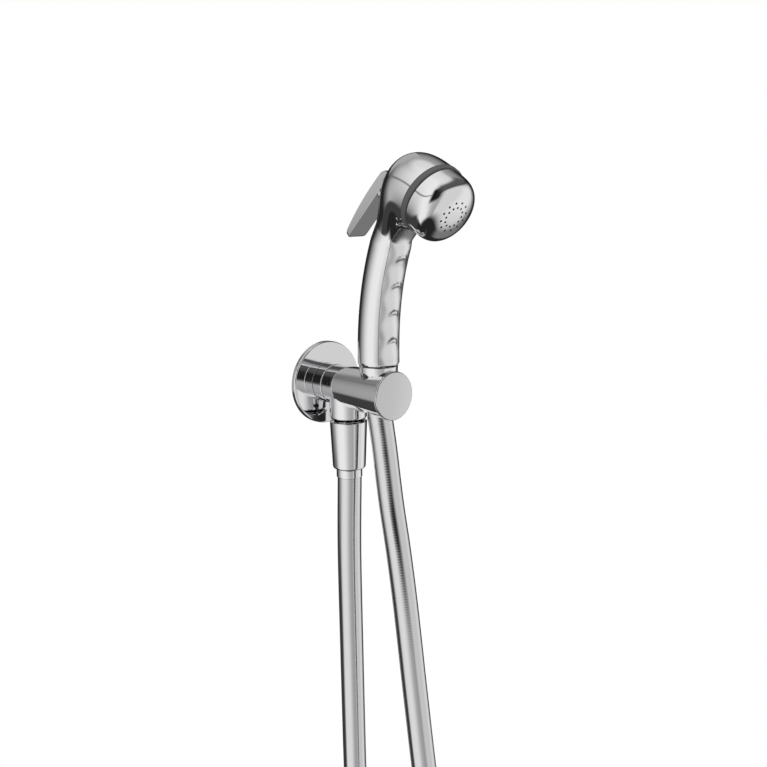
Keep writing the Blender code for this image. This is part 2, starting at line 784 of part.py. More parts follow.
def lever_slot(half):
    """Room for the lever's hub and for its swing towards the handle."""
    hub = LEVER_HUB_RADIUS + RUNNING_GAP
    swing = math.radians(LEVER_TRAVEL + 1.5)
    points = []
    for k in range(9):
        turn = math.radians(180) + (math.pi / 2 - swing) * k / 8
        points.append(lever_point(hub * math.cos(turn), hub * math.sin(turn)))
    far = LEVER_REACH * 0.8
    points.append(lever_point(far * math.cos(swing), -far * math.sin(swing) - hub * 0.35))
    points.append(lever_point(far, LEVER_REACH * 0.4))
    points.append(lever_point(-hub, LEVER_REACH * 0.4))
    return extruded(points, half)


def make_connector():
    place = frame(FOOT, (0, 0, 1))
    low = -THREAD_LENGTH
    outline = [
        (CONNECTOR_BORE_RADIUS, low),
        (THREAD_RADIUS - GAP, low),
        (THREAD_RADIUS - GAP, -GAP),
        (SOCKET_RADIUS, -GAP),
        (SOCKET_RADIUS, SOCKET_DEPTH - GAP),
        (CONNECTOR_BORE_RADIUS, SOCKET_DEPTH - GAP),
    ]
    add("handle_connector", turned(softened(outline, {1: 0.0006}), 28), CHROME, place)


def make_water_tube():
    outer_rings = []
    inner_rings = []
    top = HANDLE_LENGTH + NECK_RISE * 0.1
    for k in range(8):
        height = SOCKET_DEPTH + GAP + (top - SOCKET_DEPTH) * k / 7
        outer_rings.append(round_section(height, CHANNEL_RADIUS - GAP)[::2])
        inner_rings.append(round_section(height, CHANNEL_RADIUS - GAP - TUBE_WALL)[::2])
    bm = bmesh.new()
    loops = [[bm.verts.new(p) for p in ring] for ring in outer_rings + inner_rings[::-1]]
    for first, second in zip(loops, loops[1:] + loops[:1]):
        for k in range(len(first)):
            n = (k + 1) % len(first)
            bm.faces.new((first[k], first[n], second[n], second[k]))
    add("water_tube", bm, WHITE_PLASTIC)


def make_strip():
    add("grip_strip", lofted(strip_rings(0, STRIP_PROUD, STRIP_WAVE_HEIGHT)), SATIN_CHROME)


# Spray end, along the head's axis

def dome(radius):
    """How far the face lies behind its middle at this radius."""
    return CAP_DOME_HEIGHT * (radius / CAP_DOME_RADIUS) ** 2


def make_ring():
    start = GAP
    end = start + RING_LENGTH
    inner = SKIRT_RADIUS + GAP
    outline = [(inner, start), (RING_RADIUS, start), (RING_RADIUS, end), (inner, end)]
    points = softened(outline, {1: RING_EDGE_ROUND, 2: RING_EDGE_ROUND})
    add("head_ring", turned(points, 40), GREY_PLASTIC, HEAD)


def add_rods(bm, count, circle, radius, middle, depth, offset=0.0):
    """Adds a circle of small rods along local Z, to be cut as holes."""
    for k in range(count):
        turn = math.tau * (k + offset) / count
        spot = Matrix.Translation((circle * math.cos(turn), circle * math.sin(turn), middle))
        bmesh.ops.create_cone(
            bm, cap_ends=True, segments=8, radius1=radius, radius2=radius, depth=depth, matrix=spot
        )


def make_cap():
    back = GAP * 2 + RING_LENGTH
    ledge = SKIRT_RADIUS - SKIRT_WALL - JET_PLATE_LEDGE
    inside = CAP_REACH - CAP_WALL - CAP_DOME_HEIGHT
    outline = [
        (0, CAP_REACH),
        (OUTER_HOLE_CIRCLE * 0.5, CAP_REACH - dome(OUTER_HOLE_CIRCLE * 0.5)),
        (CAP_DOME_RADIUS * 0.72, CAP_REACH - dome(CAP_DOME_RADIUS * 0.72)),
        (CAP_DOME_RADIUS, CAP_REACH - CAP_DOME_HEIGHT),
    ]
    front = CAP_REACH - CAP_DOME_HEIGHT
    edge = back + 0.0005
    for k in range(1, 9):
        share = (k / 9) ** 1.8
        bulge = (1 - (1 - share) ** 2.7) ** 0.58
        outline.append((CAP_DOME_RADIUS + (CAP_RADIUS - CAP_DOME_RADIUS) * bulge, front + (edge - front) * share))
    outline += [
        (CAP_RADIUS, edge),
        (CAP_RADIUS - 0.0005, back),
        (SKIRT_RADIUS, back),
        (SKIRT_RADIUS, -SKIRT_LENGTH),
        (SKIRT_RADIUS - SKIRT_WALL, -SKIRT_LENGTH),
        (SKIRT_RADIUS - SKIRT_WALL, JET_PLATE_REACH),
        (ledge, JET_PLATE_REACH),
        (ledge, inside - 0.001),
        (ledge - 0.001, inside),
        (0, inside),
    ]
    cap = add("spray_cap", turned(outline, 40), CHROME, HEAD)
    holes = bmesh.new()
    middle = CAP_REACH - CAP_WALL
    add_rods(holes, SPRAY_HOLES, OUTER_HOLE_CIRCLE, SPRAY_HOLE_RADIUS, middle, CAP_WALL * 4, 0.5)
    add_rods(holes, SPRAY_HOLES, INNER_HOLE_CIRCLE, SPRAY_HOLE_RADIUS, middle, CAP_WALL * 4)
    cut(cap, "spray_holes", holes, HEAD)


def make_jet_plate():
    radius = SKIRT_RADIUS - SKIRT_WALL - GAP
    end = JET_PLATE_REACH - GAP
    plate = add("jet_plate", rod(radius, end - JET_PLATE_THICKNESS, end, 28), WHITE_PLASTIC, HEAD)
    holes = bmesh.new()
    add_rods(holes, JET_HOLES, INNER_HOLE_CIRCLE, JET_RADIUS, end, JET_PLATE_THICKNESS * 4)
    cut(plate, "jet_holes", holes, HEAD)


def make_cap_washer():
    start = -SKIRT_LENGTH - GAP - CAP_WASHER_THICKNESS
    washer = tube(HEAD_CAVITY_RADIUS - GAP, SKIRT_RADIUS - SKIRT_WALL, start, start + CAP_WASHER_THICKNESS, 28)
    add("cap_washer", washer, RUBBER, HEAD)


# Trigger

def lever_outline():
    """Side view of the lever: round hub, straight inner face and a curved back."""
    points = []
    hub = LEVER_HUB_RADIUS
    for k in range(11):
        turn = math.radians(150 + (348 - 150) * k / 10)
        points.append(lever_point(hub * math.cos(turn), hub * math.sin(turn)))
    points.append(lever_point(hub * 1.55, 0))
    points.append(lever_point(LEVER_REACH * 0.6, 0))
    tip = LEVER_TIP_THICKNESS / 2
    for k in range(7):
        turn = -math.pi / 2 + math.pi * k / 6
        points.append(lever_point(LEVER_REACH - tip + tip * math.cos(turn), tip + tip * math.sin(turn)))
    crest = LEVER_THICKNESS
    for k in range(1, 9):
        share = k / 9
        along = (LEVER_REACH - tip) * (1 - share)
        bulge = math.sin(math.pi * (share**0.8) / 1.56)
        points.append(lever_point(along, LEVER_TIP_THICKNESS + (crest - LEVER_TIP_THICKNESS) * bulge))
    points.append(lever_point(0, crest * 0.93))
    points.append(lever_point(-hub * 0.55, crest * 0.75))
    return points


def make_lever():
    lever = add("trigger_lever", extruded(lever_outline(), LEVER_WIDTH / 2), CHROME)
    pin_place = frame(PIVOT, (1, 0, 0), (0, 1, 0))
    cut(lever, "lever_bore", rod(PIN_RADIUS + GAP, -LEVER_WIDTH, LEVER_WIDTH, 16), pin_place)
    length = LEVER_WIDTH / 2 + PIN_OVERHANG
    add("trigger_pin", rod(PIN_RADIUS, -length, length, 16), STEEL, pin_place)


def make_valve():
    bush_end = VALVE_BUSH_START + VALVE_BUSH_LENGTH
    bush = tube(VALVE_BORE_RADIUS, STEM_RADIUS + GAP, VALVE_BUSH_START, bush_end, 24)
    add("valve_bush", bush, BRASS, VALVE)
    disc_start = bush_end + GAP
    disc_end = disc_start + VALVE_DISC_THICKNESS
    flange_end = disc_end + GAP + STEM_FLANGE_THICKNESS
    slant = math.cos(math.radians(LEVER_TRAVEL / 2))
    tip = (STEM_RADIUS + GAP) / slant - STEM_RADIUS - REST_LIFT
    stem = [(0, tip)]
    for k in range(1, 5):
        turn = math.pi / 2 * k / 4
        stem.append((STEM_RADIUS * math.sin(turn), tip + STEM_RADIUS * (1 - math.cos(turn))))
    stem += [
        (STEM_RADIUS, disc_end + GAP),
        (STEM_FLANGE_RADIUS, disc_end + GAP),
        (STEM_FLANGE_RADIUS, flange_end),
        (0, flange_end),
    ]
    add("valve_stem", turned(stem, 20), STEEL, VALVE)
    disc = tube(STEM_FLANGE_RADIUS + 0.0006, STEM_RADIUS + GAP, disc_start, disc_end, 24)
    add("valve_disc", disc, RUBBER, VALVE)

    spring_start = flange_end + GAP + SPRING_WIRE_RADIUS
    spring_end = VALVE_DEPTH - GAP - SPRING_WIRE_RADIUS
    curve = bpy.data.curves.new("valve_spring", "CURVE")
    curve.dimensions = "3D"
    curve.bevel_depth = SPRING_WIRE_RADIUS
    curve.bevel_resolution = 1
    curve.use_fill_caps = True
    steps = SPRING_TURNS * 12
    spline = curve.splines.new("POLY")
    spline.points.add(steps)
    for k, point in enumerate(spline.points):
        turn = math.tau * SPRING_TURNS * k / steps
        along = spring_start + (spring_end - spring_start) * k / steps
        point.co = (SPRING_RADIUS * math.cos(turn), SPRING_RADIUS * math.sin(turn), along, 1.0)
    curve.materials.append(STEEL)
    spring = bpy.data.objects.new("valve_spring", curve)
    spring.matrix_world = VALVE
    bpy.context.scene.collection.objects.link(spring)


make_nipple()
make_plate()
make_stub()
make_barrel()
make_end_cap()
wall_exit = make_hose_end("wall", OUTLET_REACH, WALL_NUT_TOP, WALL_NUT_LENGTH)
handset_exit = make_hose_end("handset", HOLDER_REACH, HANDSET_NUT_TOP, HANDSET_NUT_LENGTH)
make_hose(Vector((0, -OUTLET_REACH, wall_exit)), Vector((0, -HOLDER_REACH, handset_exit)))
make_body()
make_connector()
make_water_tube()
make_strip()
make_ring()
make_cap()
make_jet_plate()
make_cap_washer()
make_lever()
make_valve()
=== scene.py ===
import json
import math

import bmesh
import bpy
from mathutils import Matrix, Vector
from mathutils.bvhtree import BVHTree
from mathutils.geometry import barycentric_transform

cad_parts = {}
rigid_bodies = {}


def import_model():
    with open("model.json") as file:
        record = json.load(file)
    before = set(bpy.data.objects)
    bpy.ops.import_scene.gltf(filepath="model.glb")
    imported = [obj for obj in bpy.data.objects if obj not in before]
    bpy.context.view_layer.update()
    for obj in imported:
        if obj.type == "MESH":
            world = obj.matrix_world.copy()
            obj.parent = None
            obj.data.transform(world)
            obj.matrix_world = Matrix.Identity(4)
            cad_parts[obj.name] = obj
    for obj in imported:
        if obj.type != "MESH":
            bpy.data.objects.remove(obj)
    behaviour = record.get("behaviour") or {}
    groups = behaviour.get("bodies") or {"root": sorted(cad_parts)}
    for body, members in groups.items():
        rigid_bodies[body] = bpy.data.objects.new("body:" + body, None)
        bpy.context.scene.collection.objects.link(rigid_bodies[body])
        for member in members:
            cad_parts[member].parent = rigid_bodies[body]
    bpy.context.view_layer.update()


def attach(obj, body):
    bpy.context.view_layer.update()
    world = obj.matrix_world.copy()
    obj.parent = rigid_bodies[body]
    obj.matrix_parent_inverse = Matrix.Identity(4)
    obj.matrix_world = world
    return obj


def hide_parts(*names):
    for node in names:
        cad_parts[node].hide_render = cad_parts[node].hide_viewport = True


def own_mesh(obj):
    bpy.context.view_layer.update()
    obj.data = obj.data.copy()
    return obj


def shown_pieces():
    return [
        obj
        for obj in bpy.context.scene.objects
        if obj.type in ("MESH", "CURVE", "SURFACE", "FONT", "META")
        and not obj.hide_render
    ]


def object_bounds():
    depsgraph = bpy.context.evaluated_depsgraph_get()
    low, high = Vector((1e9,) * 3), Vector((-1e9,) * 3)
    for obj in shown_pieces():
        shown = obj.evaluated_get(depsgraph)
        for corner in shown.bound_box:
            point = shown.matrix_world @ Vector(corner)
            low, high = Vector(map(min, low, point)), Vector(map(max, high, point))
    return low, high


for leftover in list(bpy.data.objects):
    bpy.data.objects.remove(leftover)

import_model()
print("frame loaded")

gap = 0.0003
nutGap = 0.0007
cutPast = 0.002  # how far a cut reaches out past the surface


# Camera

cameraView = {
    "azimuth": 42.1,
    "elevation": 11.2,
    "roll": -0.7,
    "distance": 0.650,
    "across": -0.0394,
    "up": 0.001467,
    "lens": 45.76,
}


def makeCamera():
    az, el, roll = (math.radians(cameraView[k]) for k in ("azimuth", "elevation", "roll"))
    back = Vector((-math.sin(az) * math.cos(el), -math.cos(az) * math.cos(el), math.sin(el)))
    right = Vector((math.cos(az), -math.sin(az), 0))
    up = back.cross(right)
    right, up = right * math.cos(roll) + up * math.sin(roll), up * math.cos(roll) - right * math.sin(roll)
    data = bpy.data.cameras.new("photoCamera")
    data.sensor_width = 36
    data.lens = cameraView["lens"]
    data.clip_start = 0.01
    data.clip_end = 20
    camera = bpy.data.objects.new("photoCamera", data)
    place = Matrix((right, up, back)).transposed().to_4x4()
    place.translation = back * cameraView["distance"] - right * cameraView["across"] - up * cameraView["up"]
    camera.matrix_world = place
    bpy.context.scene.collection.objects.link(camera)
    bpy.context.scene.camera = camera


makeCamera()


# Meshes

def placed(origin, axis, side=(1, 0, 0)):
    z = Vector(axis).normalized()
    x = (Vector(side) - z * Vector(side).dot(z)).normalized()
    turn = Matrix((x, z.cross(x), z)).transposed().to_4x4()
    turn.translation = Vector(origin)
    return turn


def makePiece(name, bm, place=None, sharp=38):
    bmesh.ops.recalc_face_normals(bm, faces=bm.faces)
    if place is not None:
        bm.transform(place)  # world coordinates, so that textures keep to real sizes
    mesh = bpy.data.meshes.new(name)
    bm.to_mesh(mesh)
    bm.free()
    mesh.shade_smooth()
    mesh.set_sharp_from_angle(angle=math.radians(sharp))
    piece = bpy.data.objects.new(name, mesh)
    bpy.context.scene.collection.objects.link(piece)
    return piece


def turned(outline, sides=96, closed=True):
    bm = bmesh.new()
    rings = []
    for radius, along in outline:
        count = sides if radius > 1e-7 else 1
        turns = [math.tau * k / sides for k in range(count)]
        rings.append([bm.verts.new((radius * math.cos(a), radius * math.sin(a), along)) for a in turns])
    pairs = list(zip(rings, rings[1:]))
    if closed:
        pairs.append((rings[-1], rings[0]))
    for first, second in pairs:
        if len(first) == 1 and len(second) == 1:
            continue
        for k in range(sides):
            n = (k + 1) % sides
            ways = ((first, k), (first, n), (second, n), (second, k))
            corners = [ring[turn % len(ring)] for ring, turn in ways]
            bm.faces.new(list(dict.fromkeys(corners)))
    return bm


def softened(outline, rounds, steps=6, support=0.00012):
    points = []
    for k, corner in enumerate(outline):
        if k not in rounds:
            points.append(corner)
            continue
        c = Vector(corner)
        before = (Vector(outline[k - 1]) - c).normalized()
        after = (Vector(outline[(k + 1) % len(outline)]) - c).normalized()
        start, end = c + before * rounds[k], c + after * rounds[k]
        points.append(tuple(start + before * support))  # keeps the flat next to it flat
        for n in range(steps + 1):
            t = n / steps
            points.append(tuple(start * (1 - t) ** 2 + c * 2 * t * (1 - t) + end * t * t))
        points.append(tuple(end + after * support))
    return points


def ringed(outline, longest):  # long straight stretches in short steps, for clean cuts later
    points = []
    for a, b in zip(outline, outline[1:]):
        a, b = Vector(a), Vector(b)
        count = max(1, math.ceil((b - a).length / longest))
        points += [tuple(a.lerp(b, n / count)) for n in range(count)]
    points.append(outline[-1])
    return points


def lofted(rings, closed=False):  # when closed, the last ring joins the first one
    bm = bmesh.new()
    loops = [[bm.verts.new(p) for p in ring] for ring in rings]
    following = loops[1:] + loops[:1] if closed else loops[1:]
    for first, second in zip(loops, following):
        for k in range(len(first)):
            n = (k + 1) % len(first)
            bm.faces.new((first[k], first[n], second[n], second[k]))
    if not closed:
        bm.faces.new(list(reversed(loops[0])))
        bm.faces.new(loops[-1])
    return bm


def rod(radius, start, end, sides=64):
    return turned([(0, start), (radius, start), (radius, end), (0, end)], sides)


def applyCut(piece, bm, place=None, operation="DIFFERENCE", sharp=38):
    tool = makePiece("tool", bm, place)
    step = piece.modifiers.new("cut", "BOOLEAN")
    step.operation = operation
    step.solver = "EXACT"
    step.object = tool
    evaluated = piece.evaluated_get(bpy.context.evaluated_depsgraph_get())
    mesh = bpy.data.meshes.new_from_object(evaluated)
    piece.modifiers.clear()
    old = piece.data
    piece.data = mesh
    bpy.data.meshes.remove(old)
    bpy.data.objects.remove(tool)
    piece.data.shade_smooth()
    piece.data.set_sharp_from_angle(angle=math.radians(sharp))


def keepShading(piece, form, reach=0.0002, facing=0.75):
    # faces that the cuts left on the smooth form are shaded as it is
    form.calc_loop_triangles()
    points = [v.co.copy() for v in form.vertices]
    bends = [Vector() for v in form.vertices]
    for face in form.polygons:
        for v in face.vertices:
            bends[v] += face.normal * (1 if len(face.vertices) == 4 else 0)  # not its end caps
    triangles = [tuple(t.vertices) for t in form.loop_triangles]
    tree = BVHTree.FromPolygons(points, triangles)
    mesh = piece.data
    normals = [corner.vector.copy() for corner in mesh.corner_normals]
    for face in mesh.polygons:
        hits = [tree.find_nearest(mesh.vertices[v].co) for v in face.vertices]
        if any(hit[3] > reach or face.normal.dot(hit[1]) < facing for hit in hits):
            continue
        for loop, hit in zip(face.loop_indices, hits):
            ends = triangles[hit[2]]
            corners = [points[v] for v in ends]
            normals[loop] = barycentric_transform(hit[0], *corners, *[bends[v] for v in ends]).normalized()
    mesh.normals_split_custom_set(normals)


def show(piece, node, body="base"):  # the piece is put in the body, and that CAD node is hidden
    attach(piece, body)
    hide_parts(node)
    return piece


wallPlace = placed((0, 0, 0), (0, -1, 0))


# Hose

outletShape = {
    "reach": 0.0242,
    "radius": 0.0121,
    "start": 0.002,
    "drop": 0.0220,
    "edge": 0.0005,
    "chamfer": 0.0022,
    "thread": 0.0100,
    "stub": 0.009,
    "bore": 0.0056,
    "boreStart": -0.001,
    "boreEnd": 0.033,
}
handleShape = {
    "radius": 0.0130,
    "topRadius": 0.0124,
    "reach": 0.054292,
    "foot": 0.0183,
    "length": 0.0720,
    "lean": 0.0113,
    "power": 2.4,
    "edge": 0.0014,
}
nutShape = {
    "top": 0.0122,
    "taper": 0.045,
    "edge": 0.0016,
    "topEdge": 0.0003,
    "innerEdge": 0.0002,
    "lip": 0.0006,
    "thread": 0.0103,
    "shoulder": 0.0134,
    "sink": 0.0028,
    "waist": 0.0108,
    "waistHigh": 0.0034,
    "waistLow": 0.0078,
    "waistFall": 0.0002,
    "wallLength": 0.0316,
    "handsetLength": 0.0200,
}
ferruleShape = {"radius": 0.0085, "length": 0.0058, "bore": 0.0055, "edge": 0.0005}
hoseShape = {
    "radius": 0.0080,
    "pitch": 0.0017,
    "depth": 0.00002,
    "steps": 4,
    "sides": 24,
    "exit": (0.0, -outletShape["reach"], -0.0607),
    "end": (0.0, -handleShape["reach"], -0.0088),
    "lead": 0.003,
}
hoseDown = [
    (0.0000, 0.0016, -0.1120),
    (0.0000, 0.0012, -0.1820),
    (0.0000, 0.0005, -0.2540),
    (0.0010, 0.0007, -0.3200),
    (0.0025, 0.0037, -0.3850),
    (0.0035, 0.0092, -0.4400),
    (0.0040, 0.0122, -0.4900),
    (0.0040, 0.0042, -0.5310),
    (0.0030, -0.0198, -0.5560),
]
hoseUp = [
    (0.0015, -0.0220, -0.5650),
    (0.0000, -0.0545, -0.5560),
    (-0.0015, -0.0780, -0.5310),
    (-0.0020, -0.0865, -0.4950),
    (-0.0020, -0.0840, -0.4520),
    (-0.0015, -0.0755, -0.4050),
    (-0.0010, -0.0642, -0.3550),
    (-0.0005, -0.0530, -0.3050),
    (0.0000, -0.0415, -0.2560),
    (0.0000, -0.0314, -0.1925),
    (0.0000, -0.0268, -0.1611),
    (0.0003, -0.0217, -0.1299),
    (0.0006, -0.0159, -0.0992),
    (0.0010, -0.0092, -0.0689),
    (0.0010, -0.0042, -0.0385),
    (0.0006, -0.0018, -0.0233),
]


def smoothPath(points, step, samples=40):
    ends = [points[0] * 2 - points[1], *points, points[-1] * 2 - points[-2]]
    fine = []
    for k in range(1, len(ends) - 2):
        p0, p1, p2, p3 = ends[k - 1 : k + 3]
        for n in range(samples):
            t = n / samples
            a = 2 * p1 + (p2 - p0) * t
            b = (2 * p0 - 5 * p1 + 4 * p2 - p3) * t * t + (3 * p1 - p0 - 3 * p2 + p3) * t**3
            fine.append((a + b) * 0.5)
    fine.append(points[-1])
    total = sum((b - a).length for a, b in zip(fine, fine[1:]))
    count = round(total / step)
    spaced = [fine[0]]
    gone = 0.0
    for a, b in zip(fine, fine[1:]):
        length = (b - a).length
        while len(spaced) < count and gone + length >= len(spaced) * total / count:
            spaced.append(a.lerp(b, (len(spaced) * total / count - gone) / length))
        gone += length
    spaced.append(fine[-1])
    return spaced


def makeHose():
    start, end = Vector(hoseShape["exit"]), Vector(hoseShape["end"])
    lead = Vector((0, 0, hoseShape["lead"]))
    down = [Vector((x, start.y + y, z)) for x, y, z in hoseDown]
    up = [Vector((x, end.y + y, z)) for x, y, z in hoseUp]
    sides, steps = hoseShape["sides"], hoseShape["steps"]  # round the hose, and along one turn of its spiral
    points = smoothPath([start, start - lead, *down, *up, end - lead, end], hoseShape["pitch"] / steps)
    rings = []
    side = Vector((1, 0, 0))
    for k, point in enumerate(points):
        ahead = (points[min(k + 1, len(points) - 1)] - points[max(k - 1, 0)]).normalized()
        side = (side - ahead * side.dot(ahead)).normalized()
        across = ahead.cross(side)
        ring = []
        for n in range(sides):
            turn = math.tau * n / sides
            wave = (k / steps + n / sides) % 1.0
            radius = hoseShape["radius"] - hoseShape["depth"] * (0.5 - 0.5 * math.cos(math.tau * wave))
            ring.append(point + (side * math.cos(turn) + across * math.sin(turn)) * radius)
        rings.append(ring)
    hose = makePiece("hoseSpiral", lofted(rings), sharp=60)
    show(hose, "hose")
    ferrules = [makeFerrule("wall", outletShape["reach"]), makeFerrule("handset", handleShape["reach"])]


def nutRadius(down):
    return nutShape["top"] - nutShape["taper"] * down


nutTops = {"wall": -(outletShape["drop"] + nutGap), "handset": handleShape["foot"] - nutGap}
nutLengths = {"wall": nutShape["wallLength"], "handset": nutShape["handsetLength"]}


def makeFerrule(end, reach):
    top = nutLengths[end] + gap
    bottom = top + ferruleShape["length"]
    bore = ferruleShape["bore"]
    outline = [(bore, top), (ferruleShape["radius"], top), (ferruleShape["radius"], bottom), (bore, bottom)]
    place = placed((0, -reach, nutTops[end]), (0, 0, -1))
    rounds = {1: ferruleShape["edge"], 2: ferruleShape["edge"]}
    ferrule = makePiece(end + "Ferrule", turned(softened(outline, rounds)), place)
    return show(ferrule, end + "_hose_ferrule")


makeHose()


# Wall side

plateShape = {"radius": 0.0273, "thickness": 0.0036, "edge": 0.0011, "rearEdge": 0.0003, "bore": 0.0107}
collarShape = {
    "radius": 0.0131,
    "length": 0.0082,
    "edge": 0.0004,
    "rearEdge": 0.0002,
    "spigot": 0.0084,
    "spigotLength": 0.0068,
    "groove": 0.0070,
    "grooveStart": 0.00165,
    "grooveEnd": 0.0051,
    "bore": 0.0050,
    "socket": 0.0051,
}
nippleShape = {
    "radius": 0.0104,
    "bore": 0.0072,
    "behind": 0.016,
    "ahead": 0.0048,
    "pitch": 0.0018,
    "depth": 0.0007,
}


def threaded(radius, bore, start, end, pitch, depth, sides=72):
    # a pipe with a helical thread outside, which fades out at both ends
    perTurn, fadeSteps, flank = 6, 4, 1.25
    steps = round((end - start) / pitch * perTurn)
    turns = [math.tau * n / sides for n in range(sides)]
    rings = []
    for k in range(steps + 1):
        along = start + (end - start) * k / steps
        fade = min(1.0, min(k, steps - k) / fadeSteps)
        ring = []
        for n, turn in enumerate(turns):
            wave = abs(((along / pitch + n / sides) % 1.0) * 2 - 1)
            r = radius - depth * (1 - fade) - depth * fade * min(1.0, wave * flank)
            ring.append((r * math.cos(turn), r * math.sin(turn), along))
        rings.append(ring)
    for along in (end, start):
        rings.append([(bore * math.cos(turn), bore * math.sin(turn), along) for turn in turns])
    return lofted(rings, closed=True)


def makeWallSide():
    stubBack = plateShape["thickness"] + gap
    tube = nippleShape
    nipple = threaded(
        tube["radius"], tube["bore"], -tube["behind"], stubBack + tube["ahead"], tube["pitch"], tube["depth"]
    )
    show(makePiece("wallNipple", nipple, wallPlace, sharp=50), "wall_nipple")

    bore, radius, thickness = plateShape["bore"], plateShape["radius"], plateShape["thickness"]
    outline = [(bore, 0), (radius, 0), (radius, thickness), (bore, thickness)]
    plate = turned(softened(outline, {1: plateShape["rearEdge"], 2: plateShape["edge"]}), 160)
    show(makePiece("wallPlate", plate, wallPlace), "wall_plate")

    front = stubBack + collarShape["length"]
    tip = front + collarShape["spigotLength"]
    spigot, groove = collarShape["spigot"], collarShape["groove"]
    grooveStart, grooveEnd = front + collarShape["grooveStart"], front + collarShape["grooveEnd"]
    socket = stubBack + collarShape["socket"]
    outline = [
        (bore, stubBack),
        (collarShape["radius"], stubBack),
        (collarShape["radius"], front),
        (spigot, front),
        (spigot, grooveStart),
        (groove, grooveStart),
        (groove, grooveEnd),
        (spigot, grooveEnd),
        (spigot, tip),
        (collarShape["bore"], tip),
        (collarShape["bore"], socket),
        (bore, socket),
    ]
    collar = turned(softened(outline, {1: collarShape["rearEdge"], 2: collarShape["edge"]}), 128)
    show(makePiece("outletCollar", collar, wallPlace), "outlet_collar")


barrelShape = {
    "back": 0.0124,
    "length": 0.0549,
    "rear": 0.0127,
    "front": 0.0154,
    "rearEdge": 0.0005,
    "frontEdge": 0.0003,
    "socket": 0.0087,
    "socketEnd": 0.0192,
    "waterway": 0.0050,
    "waterwayStart": 0.0172,
    "waterwayEnd": 0.0257,
    "step": 0.0012,
    "holeStep": 0.002,
}
grubHole = {"radius": 0.0022, "end": 0.0127, "side": 0.0087, "ahead": 0.0030}
endCapShape = {
    "thickness": 0.0013,
    "margin": 0.0008,
    "crown": 0.0010,
    "stud": 0.0006,
    "studRadius": 0.0030,
    "studHole": 0.0033,
}


def makeBarrel():
    back, end = barrelShape["back"], barrelShape["back"] + barrelShape["length"]
    outline = [(0, back), (barrelShape["rear"], back), (barrelShape["front"], end), (0, end)]
    outline = softened(outline, {1: barrelShape["rearEdge"], 2: barrelShape["frontEdge"]})
    outline = ringed(outline, barrelShape["step"])
    barrel = makePiece("holderBarrel", turned(outline, 144, closed=False), wallPlace)

    outlet = placed((0, -outletShape["reach"], 0), (0, 0, -1))
    neckEnd = outletShape["radius"] - outletShape["chamfer"]
    thread = outletShape["thread"] - gap
    neck = [
        (0, outletShape["start"]),
        (outletShape["radius"], outletShape["start"]),
        (outletShape["radius"], outletShape["drop"] - outletShape["chamfer"]),
        (neckEnd + gap, outletShape["drop"]),
        (thread, outletShape["drop"]),
        (thread, outletShape["drop"] + outletShape["stub"]),
        (0, outletShape["drop"] + outletShape["stub"]),
    ]
    neck = ringed(softened(neck, {2: outletShape["edge"]}), barrelShape["step"])
    applyCut(barrel, turned(neck, 96, closed=False), outlet, "UNION")

    bores = placed((0, 0, 0), (0, -1, 0), (1, 0, 0.03))  # turned a little, off the barrel's own edges
    applyCut(barrel, rod(barrelShape["socket"], back - cutPast, barrelShape["socketEnd"]), bores)
    waterway = rod(barrelShape["waterway"], barrelShape["waterwayStart"], barrelShape["waterwayEnd"])
    applyCut(barrel, waterway, bores)
    applyCut(barrel, rod(outletShape["bore"], outletShape["boreStart"], outletShape["boreEnd"]), outlet)
    over = barrelShape["front"] + cutPast
    seat = nutShape["waist"] + gap
    hole = ringed([(0, -over), (seat, -over), (seat, over), (0, over)], barrelShape["holeStep"])
    holder = placed((0, -handleShape["reach"], 0), (0, 0, 1), (1, 0.07, 0))
    applyCut(barrel, turned(hole, 128, closed=False), holder)
    applyCut(barrel, rod(endCapShape["studHole"], end - endCapShape["stud"], end + cutPast), wallPlace)
    screwHole = rod(grubHole["radius"], -cutPast, grubHole["end"], 32)
    screwSpot = (grubHole["side"], -back - grubHole["ahead"], 0)
    applyCut(barrel, screwHole, placed(screwSpot, (1, 0, 0), (0, 0, 1)))
    show(barrel, "holder_barrel")

    rim = barrelShape["front"] - barrelShape["frontEdge"] * 0.4
    face = end + gap + endCapShape["thickness"]
    stud = end + gap - endCapShape["stud"]
    margin, studRadius = endCapShape["margin"], endCapShape["studRadius"]
    outline = [(0, stud), (studRadius, stud), (studRadius, end + gap), (rim, end + gap)]
    for k in range(7):
        turn = math.pi / 2 * k / 6
        outline.append((rim - margin * (1 - math.cos(turn)), face - margin * (1 - math.sin(turn))))
    for k in range(1, 25):
        share = 1 - k / 24
        outline.append(((rim - margin) * share, face + endCapShape["crown"] * (1 - share * share)))
    cap = turned(outline, 160, closed=False)
    show(makePiece("endCap", cap, wallPlace), "end_cap")


def makeNut(end, reach):
    length = nutLengths[end]
    place = placed((0, -reach, nutTops[end]), (0, 0, -1))
    thread, tail, shoulder = nutShape["thread"], ferruleShape["bore"], nutShape["shoulder"]
    outline = [(thread, nutShape["sink"]), (nutShape["top"] - nutShape["lip"], 0), (nutShape["top"], 0)]
    if end == "handset":  # it narrows where it enters the holder
        low, high, waist = nutShape["waistLow"], nutShape["waistHigh"], nutShape["waist"]
        for k in range(13):
            bend = (1 - math.cos(math.pi * k / 12)) / 2
            radius = nutRadius(high) + (waist - nutRadius(high)) * bend
            outline.append((radius, high + (low - high) * k / 12))
        outline.append((waist - nutShape["waistFall"], length))
    else:
        outline.append((nutRadius(length), length))
    count = len(outline)
    outline += [(tail, length), (tail, shoulder), (thread, shoulder)]
    rounds = {1: nutShape["innerEdge"], 2: nutShape["topEdge"], count - 1: nutShape["edge"]}
    nut = turned(softened(outline, rounds), 128)
    show(makePiece(end + "HoseNut", nut, place), end + "_hose_nut")


